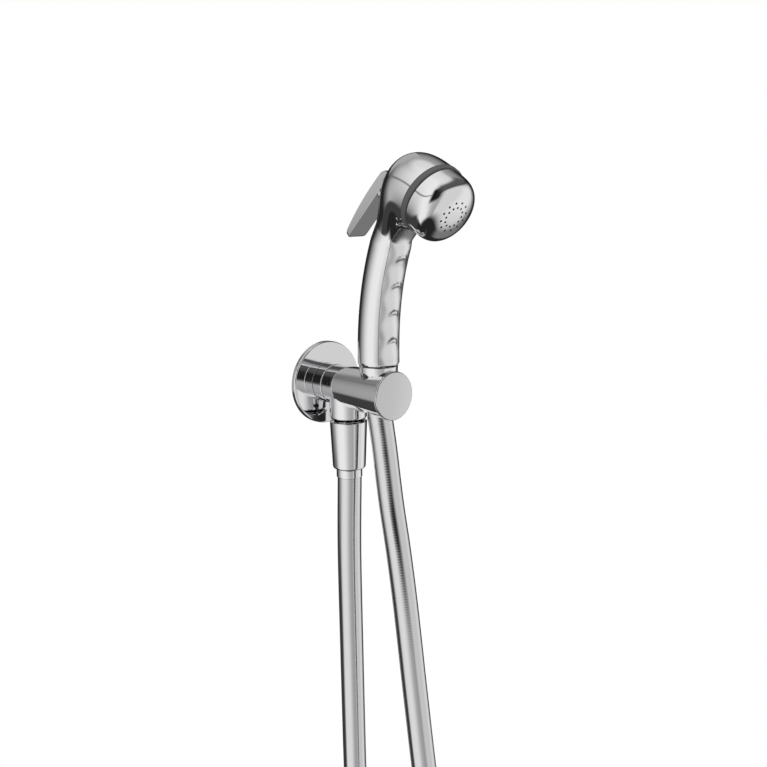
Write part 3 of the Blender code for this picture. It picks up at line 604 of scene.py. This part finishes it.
makeWallSide()
makeBarrel()
makeNut("wall", outletShape["reach"])
makeNut("handset", handleShape["reach"])
print("wall side and hose ends")


# Hand spray, laid out in the plane x = 0 as (y, z)

neckShape = {
    "rise": 0.0100,
    "shoulder": 0.35,
    "forward": 0.0042,
    "halfDepth": 0.0122,
    "halfWidth": 0.0118,
    "tilt": 42.0,
    "turn": 68.0,
    "growEnd": 0.72,
    "growBend": 1.15,
}
headShape = {
    "reach": 0.0348,
    "rise": 0.0299,
    "tilt": 31.0,
    "radius": 0.0210,
    "cavity": 0.0163,
    "cavityDepth": 0.0095,
    "swell": 1.85,
    "crown": 1.45,
    "chin": 0.24,
}
leverShape = {
    "back": 0.0302,
    "drop": 0.0062,
    "slope": 43.5,
    "travel": 14.0,
    "reach": 0.0504,
    "width": 0.0142,
    "thick": 0.0068,
    "corner": 0.0032,
    "hub": 0.0043,
    "hubStart": 150,
    "hubSweep": 198,
    "under": (0.0067, 0.012, 0.020, 0.0302, 0.040),
    "tip": 0.0015,
    "bulge": 0.8,
    "bulgeEnd": 1.56,
    "root": 0.93,
    "heel": (0.55, 0.75),
    "bore": 0.0016,
    "drill": 0.012,
    "edge": 0.0007,
}
valveShape = {"reach": 0.0150, "depth": 0.0210, "flangeEnd": 0.0136, "travel": 0.0037}


def flat(y, z):
    return Vector((0, y, z))


def direction(tilt):
    return flat(math.cos(math.radians(tilt)), math.sin(math.radians(tilt)))


handleFoot = flat(-handleShape["reach"], handleShape["foot"])


def handlePoint(height):
    share = abs(height / handleShape["length"])
    return handleFoot + flat(-handleShape["lean"] * share ** handleShape["power"], height)


def handleTilt(height):
    power, length = handleShape["power"], handleShape["length"]
    slope = handleShape["lean"] * power / length * max(0, height / length) ** (power - 1)
    return math.degrees(math.atan(slope))


handleShoulder = handlePoint(handleShape["length"])
neckCentre = handleShoulder + flat(-neckShape["forward"], neckShape["rise"])
headCentre = handleShoulder + flat(-headShape["reach"], headShape["rise"])
headBack = direction(headShape["tilt"])
headUp = direction(headShape["tilt"] + 90)
headFace = placed(headCentre, -headBack)
leverPivot = headCentre + headBack * leverShape["back"] - headUp * leverShape["drop"]
leverAlong = direction(-leverShape["slope"])
leverOut = direction(90 - leverShape["slope"])
midSwing = leverShape["slope"] + leverShape["travel"] / 2
valveAxis = -direction(90 - midSwing)
valveStart = leverPivot + direction(-midSwing) * valveShape["reach"]
valvePlace = placed(valveStart, valveAxis)
pinPlace = placed(leverPivot, (1, 0, 0), (0, 1, 0))


def bezier(p0, p1, p2, p3, t):
    s = 1 - t
    return p0 * s**3 + p1 * 3 * s * s * t + p2 * 3 * s * t * t + p3 * t**3


def section(inner, outer, halfWidth, sides=96):
    centre, half = (inner + outer) / 2, (outer - inner) / 2
    turns = [math.tau * k / sides for k in range(sides)]
    return [centre + half * math.cos(a) + Vector((halfWidth * math.sin(a), 0, 0)) for a in turns]


def handleRadius(height):
    low, high = handleShape["radius"], handleShape["topRadius"]
    return low + (high - low) * height / handleShape["length"]


def roundSlice(height, radius):
    across = direction(handleTilt(height)) * radius
    return handlePoint(height) - across, handlePoint(height) + across, radius


def elbowSlices(count=56):
    across = direction(neckShape["tilt"]) * neckShape["halfDepth"]
    neckInner, neckOuter = neckCentre - across, neckCentre + across
    headInner = headCentre - headUp * headShape["radius"]
    headOuter = headCentre + headUp * headShape["radius"]
    rise = direction(neckShape["tilt"] + neckShape["turn"])
    swell, crown, chin = (headShape["radius"] * headShape[k] for k in ("swell", "crown", "chin"))
    slices = []
    for k in range(count):
        t = k / (count - 1)
        outer = bezier(neckOuter, neckOuter + rise * swell, headOuter + headBack * crown, headOuter, t)
        inner = bezier(neckInner, neckInner + rise * chin, headInner + headBack * chin, headInner, t)
        grow = math.sin(min(1.0, t / neckShape["growEnd"]) * math.pi / 2) ** neckShape["growBend"]
        widening = (headShape["radius"] - neckShape["halfWidth"]) * grow
        slices.append((inner, outer, neckShape["halfWidth"] + widening))
    return slices


def bodySlices(count=48):
    edge, length, radius = handleShape["edge"], handleShape["length"], handleShape["radius"]
    slices = [roundSlice(0, radius - edge), roundSlice(edge * 0.3, radius - edge * 0.3)]
    heights = [edge + (length - edge) * k / count for k in range(count + 1)]
    slices += [roundSlice(height, handleRadius(height)) for height in heights]
    shoulder = length + neckShape["rise"] * neckShape["shoulder"]
    slices.append(roundSlice(shoulder, handleRadius(shoulder)))
    return slices + elbowSlices()


shellSlices = bodySlices()
frontLength = sum((high[0] - low[0]).length for low, high in zip(shellSlices, shellSlices[1:]))


stripShape = {
    "halfWidth": 0.0087,
    "depth": 0.0018,
    "start": 0.0020,
    "topMargin": 0.0048,
    "corner": 0.0034,
    "draft": 0.95,
    "proud": 0.0002,
}
stripWaves = {
    "first": 0.0173,
    "pitch": 0.0173,
    "dip": 0.0009,
    "ridge": 0.0010,
    "ridgeLength": 0.0014,
    "ridgeSide": 0.42,
    "bow": 0.0022,
    "bowSide": 0.4,
    "ridges": 4,
}


def frontSlice(along):
    gone = 0.0
    for low, high in zip(shellSlices, shellSlices[1:]):
        step = (high[0] - low[0]).length
        if gone + step > along:
            return [a + (b - a) * ((along - gone) / step) for a, b in zip(low, high)]
        gone += step
    return shellSlices[-1]


def frontNormal(along):
    reach = stripShape["halfWidth"] / 2
    way = frontSlice(along + reach)[0] - frontSlice(max(along - reach, 0))[0]
    return flat(-way.z, way.y).normalized()


def stripSection(along, halfWidth, depth, proud, dips=None, sides=32):
    inner, outer, bodyHalf = frontSlice(along)
    reach, out = (outer - inner) / 2, frontNormal(along)
    points = []
    for offset, across in ((proud, halfWidth), (-depth, -halfWidth * stripShape["draft"])):
        for k in range(sides + 1):
            x = across * math.sin(math.pi / 2 * (2 * k / sides - 1))
            fall = math.sqrt(1 - (x / bodyHalf) ** 2)
            dip = dips(x, along) if dips and offset == proud else 0
            points.append(inner + reach * (1 - fall) + out * ((offset - dip) / fall) + Vector((x, 0, 0)))
    return points


def stripRings(extra, proud, dips=None, count=60):
    halfWidth, corner = stripShape["halfWidth"] + extra, stripShape["corner"] + extra
    start = stripShape["start"] - extra
    straight = frontLength - stripShape["topMargin"] + extra - corner
    places = [(start + (straight - start) * k / count, halfWidth) for k in range(count + 1)]
    for k in range(1, 11):
        turn = math.pi / 2 * k / 10
        places.append((straight + corner * math.sin(turn), halfWidth - corner * (1 - math.cos(turn))))
    return [stripSection(along, width, stripShape["depth"] + extra, proud, dips) for along, width in places]


def leverPoint(along, out):
    return leverPivot + leverAlong * along + leverOut * out


def extruded(points, half):
    return lofted([[p + Vector((x, 0, 0)) for p in points] for x in (-half, half)])


bodyCuts = {
    "foot": 0.0091,
    "footDepth": 0.0103,
    "valve": 0.0065,
    "valveAbove": 0.0062,
    "chamber": 0.0158,
    "feed": 0.0028,
    "feedSide": 0.6,
    "channel": 0.0053,
    "channelStart": 0.008,
    "channelEnd": 0.080,
    "hub": 0.0048,
    "swing": 15.5,
    "slotReach": 0.8,
    "slotTop": 0.4,
    "slotFloor": 0.35,
    "slotSide": 0.0005,
    "pinPast": 0.0021,
}


def makeBody():
    body = makePiece("handsetBody", lofted([section(*oval) for oval in shellSlices]))
    form = body.data.copy()
    applyCut(body, rod(headShape["cavity"], -headShape["cavityDepth"], cutPast), headFace)
    applyCut(body, rod(bodyCuts["foot"], -cutPast, bodyCuts["footDepth"]), placed(handleFoot, (0, 0, 1)))

    applyCut(body, rod(bodyCuts["valve"], -bodyCuts["valveAbove"], valveShape["depth"], 48), valvePlace)
    chamber = valveStart + valveAxis * bodyCuts["chamber"]
    floor = headCentre + headBack * (headShape["cavityDepth"] - cutPast)
    floor -= headUp * headShape["cavity"] * bodyCuts["feedSide"]
    applyCut(body, rod(bodyCuts["feed"], 0, (floor - chamber).length, 24), placed(chamber, floor - chamber))
    low, high = bodyCuts["channelStart"], bodyCuts["channelEnd"]
    heights = [low + (high - low) * k / 12 for k in range(13)]
    channel = [section(*roundSlice(height, bodyCuts["channel"]), sides=24) for height in heights]
    applyCut(body, lofted(channel))
    applyCut(body, lofted(stripRings(gap, cutPast)))

    hub, swing = bodyCuts["hub"], math.radians(bodyCuts["swing"])
    points = []
    for k in range(25):
        turn = math.pi + (math.pi / 2 - swing) * k / 24
        points.append(leverPoint(hub * math.cos(turn), hub * math.sin(turn)))
    far, top = leverShape["reach"] * bodyCuts["slotReach"], leverShape["reach"] * bodyCuts["slotTop"]
    points.append(leverPoint(far * math.cos(swing), -far * math.sin(swing) - hub * bodyCuts["slotFloor"]))
    points.append(leverPoint(far, top))
    points.append(leverPoint(-hub, top))
    applyCut(body, extruded(points, leverShape["width"] / 2 + bodyCuts["slotSide"]))
    pin = leverShape["width"] / 2 + bodyCuts["pinPast"]
    applyCut(body, rod(leverShape["bore"], -pin - gap, headShape["radius"], 32), pinPlace)
    keepShading(body, form)
    bpy.data.meshes.remove(form)
    show(body, "handset_body")


def stripDip(x, along):
    # finger hollows with a small crescent ridge between them
    pitch, first = stripWaves["pitch"], stripWaves["first"]
    near = round((along - first) / pitch)
    side = x / stripShape["halfWidth"]
    hollow = math.sin(math.pi * (along - first) / pitch) ** 2
    dip = stripWaves["dip"] * hollow * max(0.0, 1 - side * side)
    if 0 <= near < stripWaves["ridges"]:
        bow = along - first - near * pitch + stripWaves["bow"] * (abs(side) / stripWaves["bowSide"]) ** 2
        fade = max(0.0, 1 - (abs(side) / stripWaves["ridgeSide"]) ** 4)
        dip -= stripWaves["ridge"] * math.exp(-((bow / stripWaves["ridgeLength"]) ** 2)) * fade
    return dip


def makeStrip():
    rings = stripRings(0, stripShape["proud"], stripDip, 220)
    show(makePiece("gripStrip", lofted(rings), sharp=50), "grip_strip")


def leverOutline():
    hub, reach, thick, tip = (leverShape[k] for k in ("hub", "reach", "thick", "tip"))
    points = []
    for k in range(25):
        turn = math.radians(leverShape["hubStart"] + leverShape["hubSweep"] * k / 24)
        points.append((hub * math.cos(turn), hub * math.sin(turn)))
    for along in leverShape["under"]:
        points.append((along, 0))
    for k in range(13):
        turn = -math.pi / 2 + math.pi * k / 12
        points.append((reach - tip + tip * math.cos(turn), tip + tip * math.sin(turn)))
    for k in range(1, 27):
        share = k / 27
        along = (reach - tip) * (1 - share)
        bulge = math.sin(math.pi * (share ** leverShape["bulge"]) / leverShape["bulgeEnd"])
        points.append((along, tip * 2 + (thick - tip * 2) * bulge))
    points.append((0, thick * leverShape["root"]))
    points.append((-hub * leverShape["heel"][0], thick * leverShape["heel"][1]))
    return points


def makeLever():
    half, corner = leverShape["width"] / 2, leverShape["corner"]
    slices = []
    for k in range(25):
        x = -half * math.cos(math.pi * k / 24)
        past = max(0.0, abs(x) - half + corner)
        end = leverShape["reach"] - corner + math.sqrt(corner**2 - past**2)
        aside = Vector((x, 0, 0))
        slices.append([leverPoint(min(along, end), out) + aside for along, out in leverOutline()])
    lever = makePiece("triggerLever", lofted(slices))
    applyCut(lever, rod(leverShape["bore"], -leverShape["drill"], leverShape["drill"], 32), pinPlace)
    edge = lever.modifiers.new("edge", "BEVEL")
    edge.width = leverShape["edge"]
    edge.segments = 4
    edge.limit_method = "ANGLE"
    edge.angle_limit = math.radians(60)
    edge.harden_normals = True
    show(lever, "trigger_lever", "trigger")


springShape = {"radius": 0.0034, "wire": 0.0003, "turns": 3, "steps": 36, "sides": 10}


def makeSpring():
    start = valveShape["flangeEnd"] + gap + springShape["wire"]
    end = valveShape["depth"] - gap - springShape["wire"]
    count = springShape["turns"] * springShape["steps"]
    rings = []
    for k in range(count + 1):
        turn = math.tau * springShape["turns"] * k / count
        rise = (end - start) * k / count
        out = Vector((math.cos(turn), math.sin(turn), 0))
        ring = []
        for n in range(springShape["sides"]):
            a = math.tau * n / springShape["sides"]
            middle = out * (springShape["radius"] + springShape["wire"] * math.cos(a))
            ring.append(middle + Vector((0, 0, start + rise + springShape["wire"] * math.sin(a))))
        rings.append(ring)
    spring = makePiece("valveSpring", lofted(rings), valvePlace, sharp=60)
    show(spring, "valve_spring")
    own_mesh(spring)


ringShape = {"radius": 0.0214, "length": 0.0036, "edge": 0.0006}
sprayShape = {
    "reach": 0.0215,
    "radius": 0.0206,
    "crown": 3.0,
    "bend": 0.24,
    "wall": 0.0040,
    "edge": 0.0005,
    "spigot": 0.0160,
    "spigotDepth": 0.0068,
    "spigotBore": 0.0140,
    "step": 0.0090,
    "bore": 0.0132,
    "roof": 0.0122,
    "hole": 0.0007,
    "drill": 0.01,
    "drillSink": 0.0024,
    "outerHoles": 0.0090,
    "innerHoles": 0.0060,
}


def makeSprayEnd():
    inner, outer = headShape["cavity"], ringShape["radius"]
    start, end = gap, gap + ringShape["length"]
    outline = [(inner, start), (outer, start), (outer, end), (inner, end)]
    ring = turned(softened(outline, {1: ringShape["edge"], 2: ringShape["edge"]}), 128)
    show(makePiece("headRing", ring, headFace), "head_ring")

    reach, radius = sprayShape["reach"], sprayShape["radius"]
    back = end + gap
    edge = back + sprayShape["edge"]
    outline = []
    for k in range(73):
        share = 1 - (1 - k / 73) ** 3
        fall = (1 - share ** sprayShape["crown"]) ** sprayShape["bend"]
        outline.append((radius * share, edge + (reach - edge) * fall))
    inside = reach - sprayShape["wall"]
    outline += [
        (radius, edge),
        (radius - sprayShape["edge"], back),
        (sprayShape["spigot"], back),
        (sprayShape["spigot"], -sprayShape["spigotDepth"]),
        (sprayShape["spigotBore"], -sprayShape["spigotDepth"]),
        (sprayShape["spigotBore"], sprayShape["step"]),
        (sprayShape["bore"], sprayShape["step"]),
        (sprayShape["bore"], inside - (sprayShape["bore"] - sprayShape["roof"])),
        (sprayShape["roof"], inside),
        (0, inside),
    ]
    cap = makePiece("sprayCap", turned(outline, 160, closed=False), headFace, sharp=30)
    holes = bmesh.new()
    hole, drill, sunk = sprayShape["hole"], sprayShape["drill"], reach - sprayShape["drillSink"]
    for circle, offset in ((sprayShape["outerHoles"], 0.5), (sprayShape["innerHoles"], 0.0)):
        for k in range(12):
            turn = math.tau * (k + offset) / 12
            spot = Matrix.Translation((circle * math.cos(turn), circle * math.sin(turn), sunk))
            bmesh.ops.create_cone(
                holes, cap_ends=True, segments=16, radius1=hole, radius2=hole, depth=drill, matrix=spot
            )
    applyCut(cap, holes, headFace, sharp=30)
    show(cap, "spray_cap")


makeBody()
makeStrip()
makeLever()
makeSpring()
makeSprayEnd()
print("hand spray")


# Shared effects

def nodeGroup(name, inputs, outputs):
    group = bpy.data.node_groups.new(name, "ShaderNodeTree")
    for label, kind, value in inputs:
        socket = group.interface.new_socket(label, in_out="INPUT", socket_type=kind)
        if value is not None:
            socket.default_value = value
    for label, kind in outputs:
        group.interface.new_socket(label, in_out="OUTPUT", socket_type=kind)
    return group, group.nodes.new("NodeGroupInput"), group.nodes.new("NodeGroupOutput")


def wire(tree, kind, values=(), settings=(), **links):  # links name an input, or its number after an i
    node = tree.nodes.new(kind)
    for key, value in dict(settings).items():
        setattr(node, key, value)
    for key, value in dict(values).items():
        node.inputs[key].default_value = value
    for key, source in links.items():
        tree.links.new(source, node.inputs[int(key[1:]) if key[1:].isdigit() else key])
    return node


def calc(tree, operation, values=(), **links):
    return wire(tree, "ShaderNodeMath", values, {"operation": operation}, **links)


def makeSurfaceGroup():
    # fine unevenness in real sizes: a bump and a small change of roughness
    group, start, end = nodeGroup(
        "surfaceBreakup",
        [
            ("Grain", "NodeSocketFloat", 0.001),
            ("Bump", "NodeSocketFloat", 0.05),
            ("Roughness", "NodeSocketFloat", 0.1),
            ("Variation", "NodeSocketFloat", 0.2),
        ],
        [("Roughness", "NodeSocketFloat"), ("Normal", "NodeSocketVector")],
    )
    place = wire(group, "ShaderNodeTexCoord")
    scale = calc(group, "DIVIDE", {0: 1.0}, i1=start.outputs["Grain"])
    noise = wire(
        group, "ShaderNodeTexNoise", {"Detail": 3.0}, Vector=place.outputs["Object"], Scale=scale.outputs[0]
    )
    bump = wire(
        group,
        "ShaderNodeBump",
        {"Distance": 0.0002},
        Strength=start.outputs["Bump"],
        Height=noise.outputs[0],
    )
    slow = wire(group, "ShaderNodeTexNoise", {"Scale": 90.0, "Detail": 2.0}, Vector=place.outputs["Object"])
    spread = calc(group, "SUBTRACT", {1: 0.5}, i0=slow.outputs[0])
    change = calc(group, "MULTIPLY", i0=spread.outputs[0], i1=start.outputs["Variation"])
    lift = calc(group, "ADD", {1: 1.0}, i0=change.outputs[0])
    rough = calc(group, "MULTIPLY", i0=lift.outputs[0], i1=start.outputs["Roughness"])
    group.links.new(rough.outputs[0], end.inputs["Roughness"])
    group.links.new(bump.outputs[0], end.inputs["Normal"])
    return group


surfaceGroup = makeSurfaceGroup()


# Materials

finishVariation = 0.25
finishValues = {
    "chrome": {"color": (0.86, 0.86, 0.87), "metal": 1.0, "rough": 0.035, "grain": 0.004, "bump": 0.01},
    "softChrome": {"color": (0.86, 0.86, 0.87), "metal": 1.0, "rough": 0.08, "grain": 0.004, "bump": 0.01},
    "satinChrome": {"color": (0.70, 0.70, 0.71), "metal": 1.0, "rough": 0.24, "grain": 0.0004, "bump": 0.05},
    "gripChrome": {"color": (0.88, 0.88, 0.89), "metal": 1.0, "rough": 0.26, "grain": 0.0008, "bump": 0.15},
    "hoseSteel": {"color": (0.74, 0.74, 0.75), "metal": 1.0, "rough": 0.12, "grain": 0.001, "bump": 0.04},
    "steel": {"color": (0.66, 0.66, 0.67), "metal": 1.0, "rough": 0.25, "grain": 0.0006, "bump": 0.05},
    "brass": {"color": (0.78, 0.60, 0.30), "metal": 1.0, "rough": 0.28, "grain": 0.0006, "bump": 0.08},
    "greyPlastic": {
        "color": (0.085, 0.085, 0.09),
        "metal": 0.0,
        "rough": 0.45,
        "grain": 0.0005,
        "bump": 0.08,
    },
    "whitePlastic": {"color": (0.78, 0.78, 0.76), "metal": 0.0, "rough": 0.45, "grain": 0.001, "bump": 0.04},
    "rubber": {"color": (0.025, 0.025, 0.025), "metal": 0.0, "rough": 0.65, "grain": 0.0005, "bump": 0.15},
}


def makeFinish(name):
    values = finishValues[name]
    material = bpy.data.materials.new(name)
    material.use_nodes = True
    tree = material.node_tree
    shader = tree.nodes["Principled BSDF"]
    breakup = tree.nodes.new("ShaderNodeGroup")
    breakup.node_tree = surfaceGroup
    breakup.inputs["Grain"].default_value = values["grain"]
    breakup.inputs["Bump"].default_value = values["bump"]
    breakup.inputs["Roughness"].default_value = values["rough"]
    breakup.inputs["Variation"].default_value = finishVariation
    shader.inputs["Base Color"].default_value = (*values["color"], 1)
    shader.inputs["Metallic"].default_value = values["metal"]
    tree.links.new(breakup.outputs["Roughness"], shader.inputs["Roughness"])
    tree.links.new(breakup.outputs["Normal"], shader.inputs["Normal"])
    return material


finishes = {name: makeFinish(name) for name in finishValues}

pieceFinish = {
    "wallNipple": "brass",
    "wallPlate": "chrome",
    "outletCollar": "chrome",
    "holderBarrel": "softChrome",
    "endCap": "satinChrome",
    "wallHoseNut": "chrome",
    "handsetHoseNut": "chrome",
    "wallFerrule": "chrome",
    "handsetFerrule": "chrome",
    "hoseSpiral": "hoseSteel",
    "handsetBody": "chrome",
    "gripStrip": "gripChrome",
    "triggerLever": "chrome",
    "headRing": "greyPlastic",
    "sprayCap": "chrome",
    "collar_seal": "rubber",
    "grub_screw": "steel",
    "wall_hose_washer": "rubber",
    "wall_hose_tail": "brass",
    "handset_hose_washer": "rubber",
    "handset_hose_tail": "brass",
    "handle_connector": "steel",
    "water_tube": "whitePlastic",
    "cap_washer": "rubber",
    "jet_plate": "whitePlastic",
    "trigger_pin": "steel",
    "valve_bush": "brass",
    "valve_stem": "steel",
    "valve_disc": "rubber",
    "valveSpring": "steel",
}

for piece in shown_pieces():
    piece.data.materials.clear()
    piece.data.materials.append(finishes[pieceFinish[piece.name]])
print("materials", len(finishes))


# Studio

# The studio by direction, in degrees round from the camera (left is negative) and above the horizon.
# Each panel has its light, its reach round and up, and how soft its left, right, lower and upper edges are.
studio = {
    "background": 1.0,
    "plain": 1.0,
    "fall": 0.25,
    "base": 0.02,
    "ceiling": [(-90, 0.0), (24, 0.0), (36, 0.16), (48, 0.30), (60, 0.38), (70, 0.74), (90, 0.85)],
    "panels": [
        {"name": "right wall", "light": 0.72, "round": (28, 126), "up": (-52, 20), "soft": (16, 15, 9, 8)},
        {"name": "right corner", "light": 0.20, "round": (112, 152), "up": (-62, -28), "soft": (12, 8, 8, 8)},
        {"name": "right lamp", "light": 0.86, "round": (90, 118), "up": (-40, 8), "soft": (9, 8, 9, 8)},
        {"name": "front floor", "light": 0.47, "round": (-22, 28), "up": (-54, -6), "soft": (8, 16, 6, 7)},
        {"name": "ceiling shade", "light": 0.10, "round": (4, 132), "up": (29, 58), "soft": (16, 12, 8, 8)},
        {"name": "back wall", "light": 0.44, "round": (-200, -132), "up": (23, 58), "soft": (5, 12, 5, 8)},
        {"name": "left wall", "light": 0.93, "round": (-96, -12), "up": (-34, 84), "soft": (42, 22, 8, 8)},
        {"name": "left floor", "light": 0.93, "round": (-84, -12), "up": (-54, -27), "soft": (10, 22, 9, 6)},
        {"name": "low shade", "light": 0.05, "round": (-165, -88), "up": (-40, -19), "soft": (10, 12, 6, 4)},
        {"name": "horizon", "light": 0.17, "round": (-116, -26), "up": (26, 29.5), "soft": (8, 5, 2.2, 2.2)},
        {"name": "dark flag", "light": 0.01, "round": (-25, 12), "up": (-3, 50), "soft": (10, 17, 8, 9)},
    ],
    "floorDrop": 0.010,
    "floorRadius": 0.42,
    "floorColor": (0.93, 0.93, 0.93),
    "floorRough": 0.8,
}


def fillRamp(ramp, span, offset, stops):
    # stops of (degrees, value) on a ramp that covers span degrees from minus offset
    while len(ramp.elements) > 1:
        ramp.elements.remove(ramp.elements[-1])
    ramp.elements[0].position = (stops[0][0] + offset) / span
    ramp.elements[0].color = (*[stops[0][1]] * 3, 1)
    for degrees, value in stops[1:]:
        ramp.elements.new((degrees + offset) / span).color = (value, value, value, 1)


def makeStudioGroup():
    # brightness by direction: a dark room, its ceiling, then each panel over what is behind it
    group, start, end = nodeGroup(
        "studioPanels", [("Direction", "NodeSocketVector", None)], [("Brightness", "NodeSocketFloat")]
    )
    az = math.radians(cameraView["azimuth"])
    axes = {"right": (math.cos(az), -math.sin(az), 0), "back": (-math.sin(az), -math.cos(az), 0)}
    parts = {}
    for key, axis in axes.items():
        parts[key] = wire(
            group,
            "ShaderNodeVectorMath",
            {1: axis},
            {"operation": "DOT_PRODUCT"},
            i0=start.outputs["Direction"],
        ).outputs["Value"]
    angle = calc(group, "ARCTAN2", i0=parts["right"], i1=parts["back"])
    around = calc(group, "DEGREES", i0=angle.outputs[0])
    split = wire(group, "ShaderNodeSeparateXYZ", i0=start.outputs["Direction"])
    tilt = calc(group, "ARCSINE", i0=split.outputs[2])
    height = calc(group, "DEGREES", i0=tilt.outputs[0])
    level = wire(group, "ShaderNodeMapRange", {1: -90.0, 2: 90.0, 3: 0.0, 4: 1.0}, i0=height.outputs[0])
    ceiling = wire(group, "ShaderNodeValToRGB", i0=level.outputs[0])
    fillRamp(ceiling.color_ramp, 180, 90, studio["ceiling"])
    room = calc(group, "MAXIMUM", {1: studio["base"]}, i0=ceiling.outputs[0])
    light = room.outputs[0]
    for panel in studio["panels"]:
        mask = None
        left, right, low, high = panel["soft"]
        sides = [(around, panel["round"], (left, right)), (height, panel["up"], (low, high))]
        for source, reach, softs in sides:
            for edge, soft, way in ((reach[0], softs[0], 1), (reach[1], softs[1], -1)):
                ramp = wire(
                    group,
                    "ShaderNodeMapRange",
                    {1: edge - soft * way, 2: edge + soft * way, 3: 0.0, 4: 1.0},
                    {"interpolation_type": "SMOOTHSTEP"},
                    i0=source.outputs[0],
                ).outputs[0]
                if mask is None:
                    mask = ramp
                    continue
                mask = calc(group, "MULTIPLY", i0=mask, i1=ramp).outputs[0]
        over = wire(group, "ShaderNodeMix", {3: panel["light"]}, {"data_type": "FLOAT"}, i0=mask, i2=light)
        light = over.outputs[0]
    group.links.new(light, end.inputs["Brightness"])
    return group


studioGroup = makeStudioGroup()


def makeWorld():
    world = bpy.data.worlds.new("studio")
    bpy.context.scene.world = world
    world.use_nodes = True
    tree = world.node_tree
    tree.nodes.clear()
    place = tree.nodes.new("ShaderNodeTexCoord")
    panels = tree.nodes.new("ShaderNodeGroup")
    panels.node_tree = studioGroup
    tree.links.new(place.outputs["Generated"], panels.inputs["Direction"])
    rays = tree.nodes.new("ShaderNodeLightPath")
    split = wire(tree, "ShaderNodeSeparateXYZ", i0=place.outputs["Generated"])
    plain = calc(tree, "MULTIPLY_ADD", {1: studio["fall"], 2: studio["plain"]}, i0=split.outputs[2])
    soft = wire(
        tree,
        "ShaderNodeMix",
        {},
        {"data_type": "FLOAT"},
        i0=rays.outputs["Is Diffuse Ray"],
        i2=panels.outputs[0],
        i3=plain.outputs[0],
    )
    pick = wire(
        tree,
        "ShaderNodeMix",
        {3: studio["background"]},
        {"data_type": "FLOAT"},
        i0=rays.outputs["Is Camera Ray"],
        i2=soft.outputs[0],
    )
    shade = wire(tree, "ShaderNodeBackground", {"Strength": 1.0}, Color=pick.outputs[0])
    world.cycles.sampling_method = "NONE"  # each ray looks the world up with its own kind
    out = tree.nodes.new("ShaderNodeOutputWorld")
    tree.links.new(shade.outputs[0], out.inputs[0])


def makeFloor():
    low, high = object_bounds()
    bm = bmesh.new()
    bmesh.ops.create_circle(bm, cap_ends=True, segments=96, radius=studio["floorRadius"])
    mesh = bpy.data.meshes.new("floor")
    bm.to_mesh(mesh)
    bm.free()
    floor = bpy.data.objects.new("floor", mesh)
    floor.location = ((low.x + high.x) / 2, (low.y + high.y) / 2, low.z - studio["floorDrop"])
    floor.visible_glossy = False
    bpy.context.scene.collection.objects.link(floor)
    material = bpy.data.materials.new("paleFloor")
    material.use_nodes = True
    shader = material.node_tree.nodes["Principled BSDF"]
    shader.inputs["Base Color"].default_value = (*studio["floorColor"], 1)
    shader.inputs["Roughness"].default_value = studio["floorRough"]
    mesh.materials.append(material)


makeWorld()
makeFloor()
bpy.context.scene.view_settings.view_transform = "Standard"
print("studio")
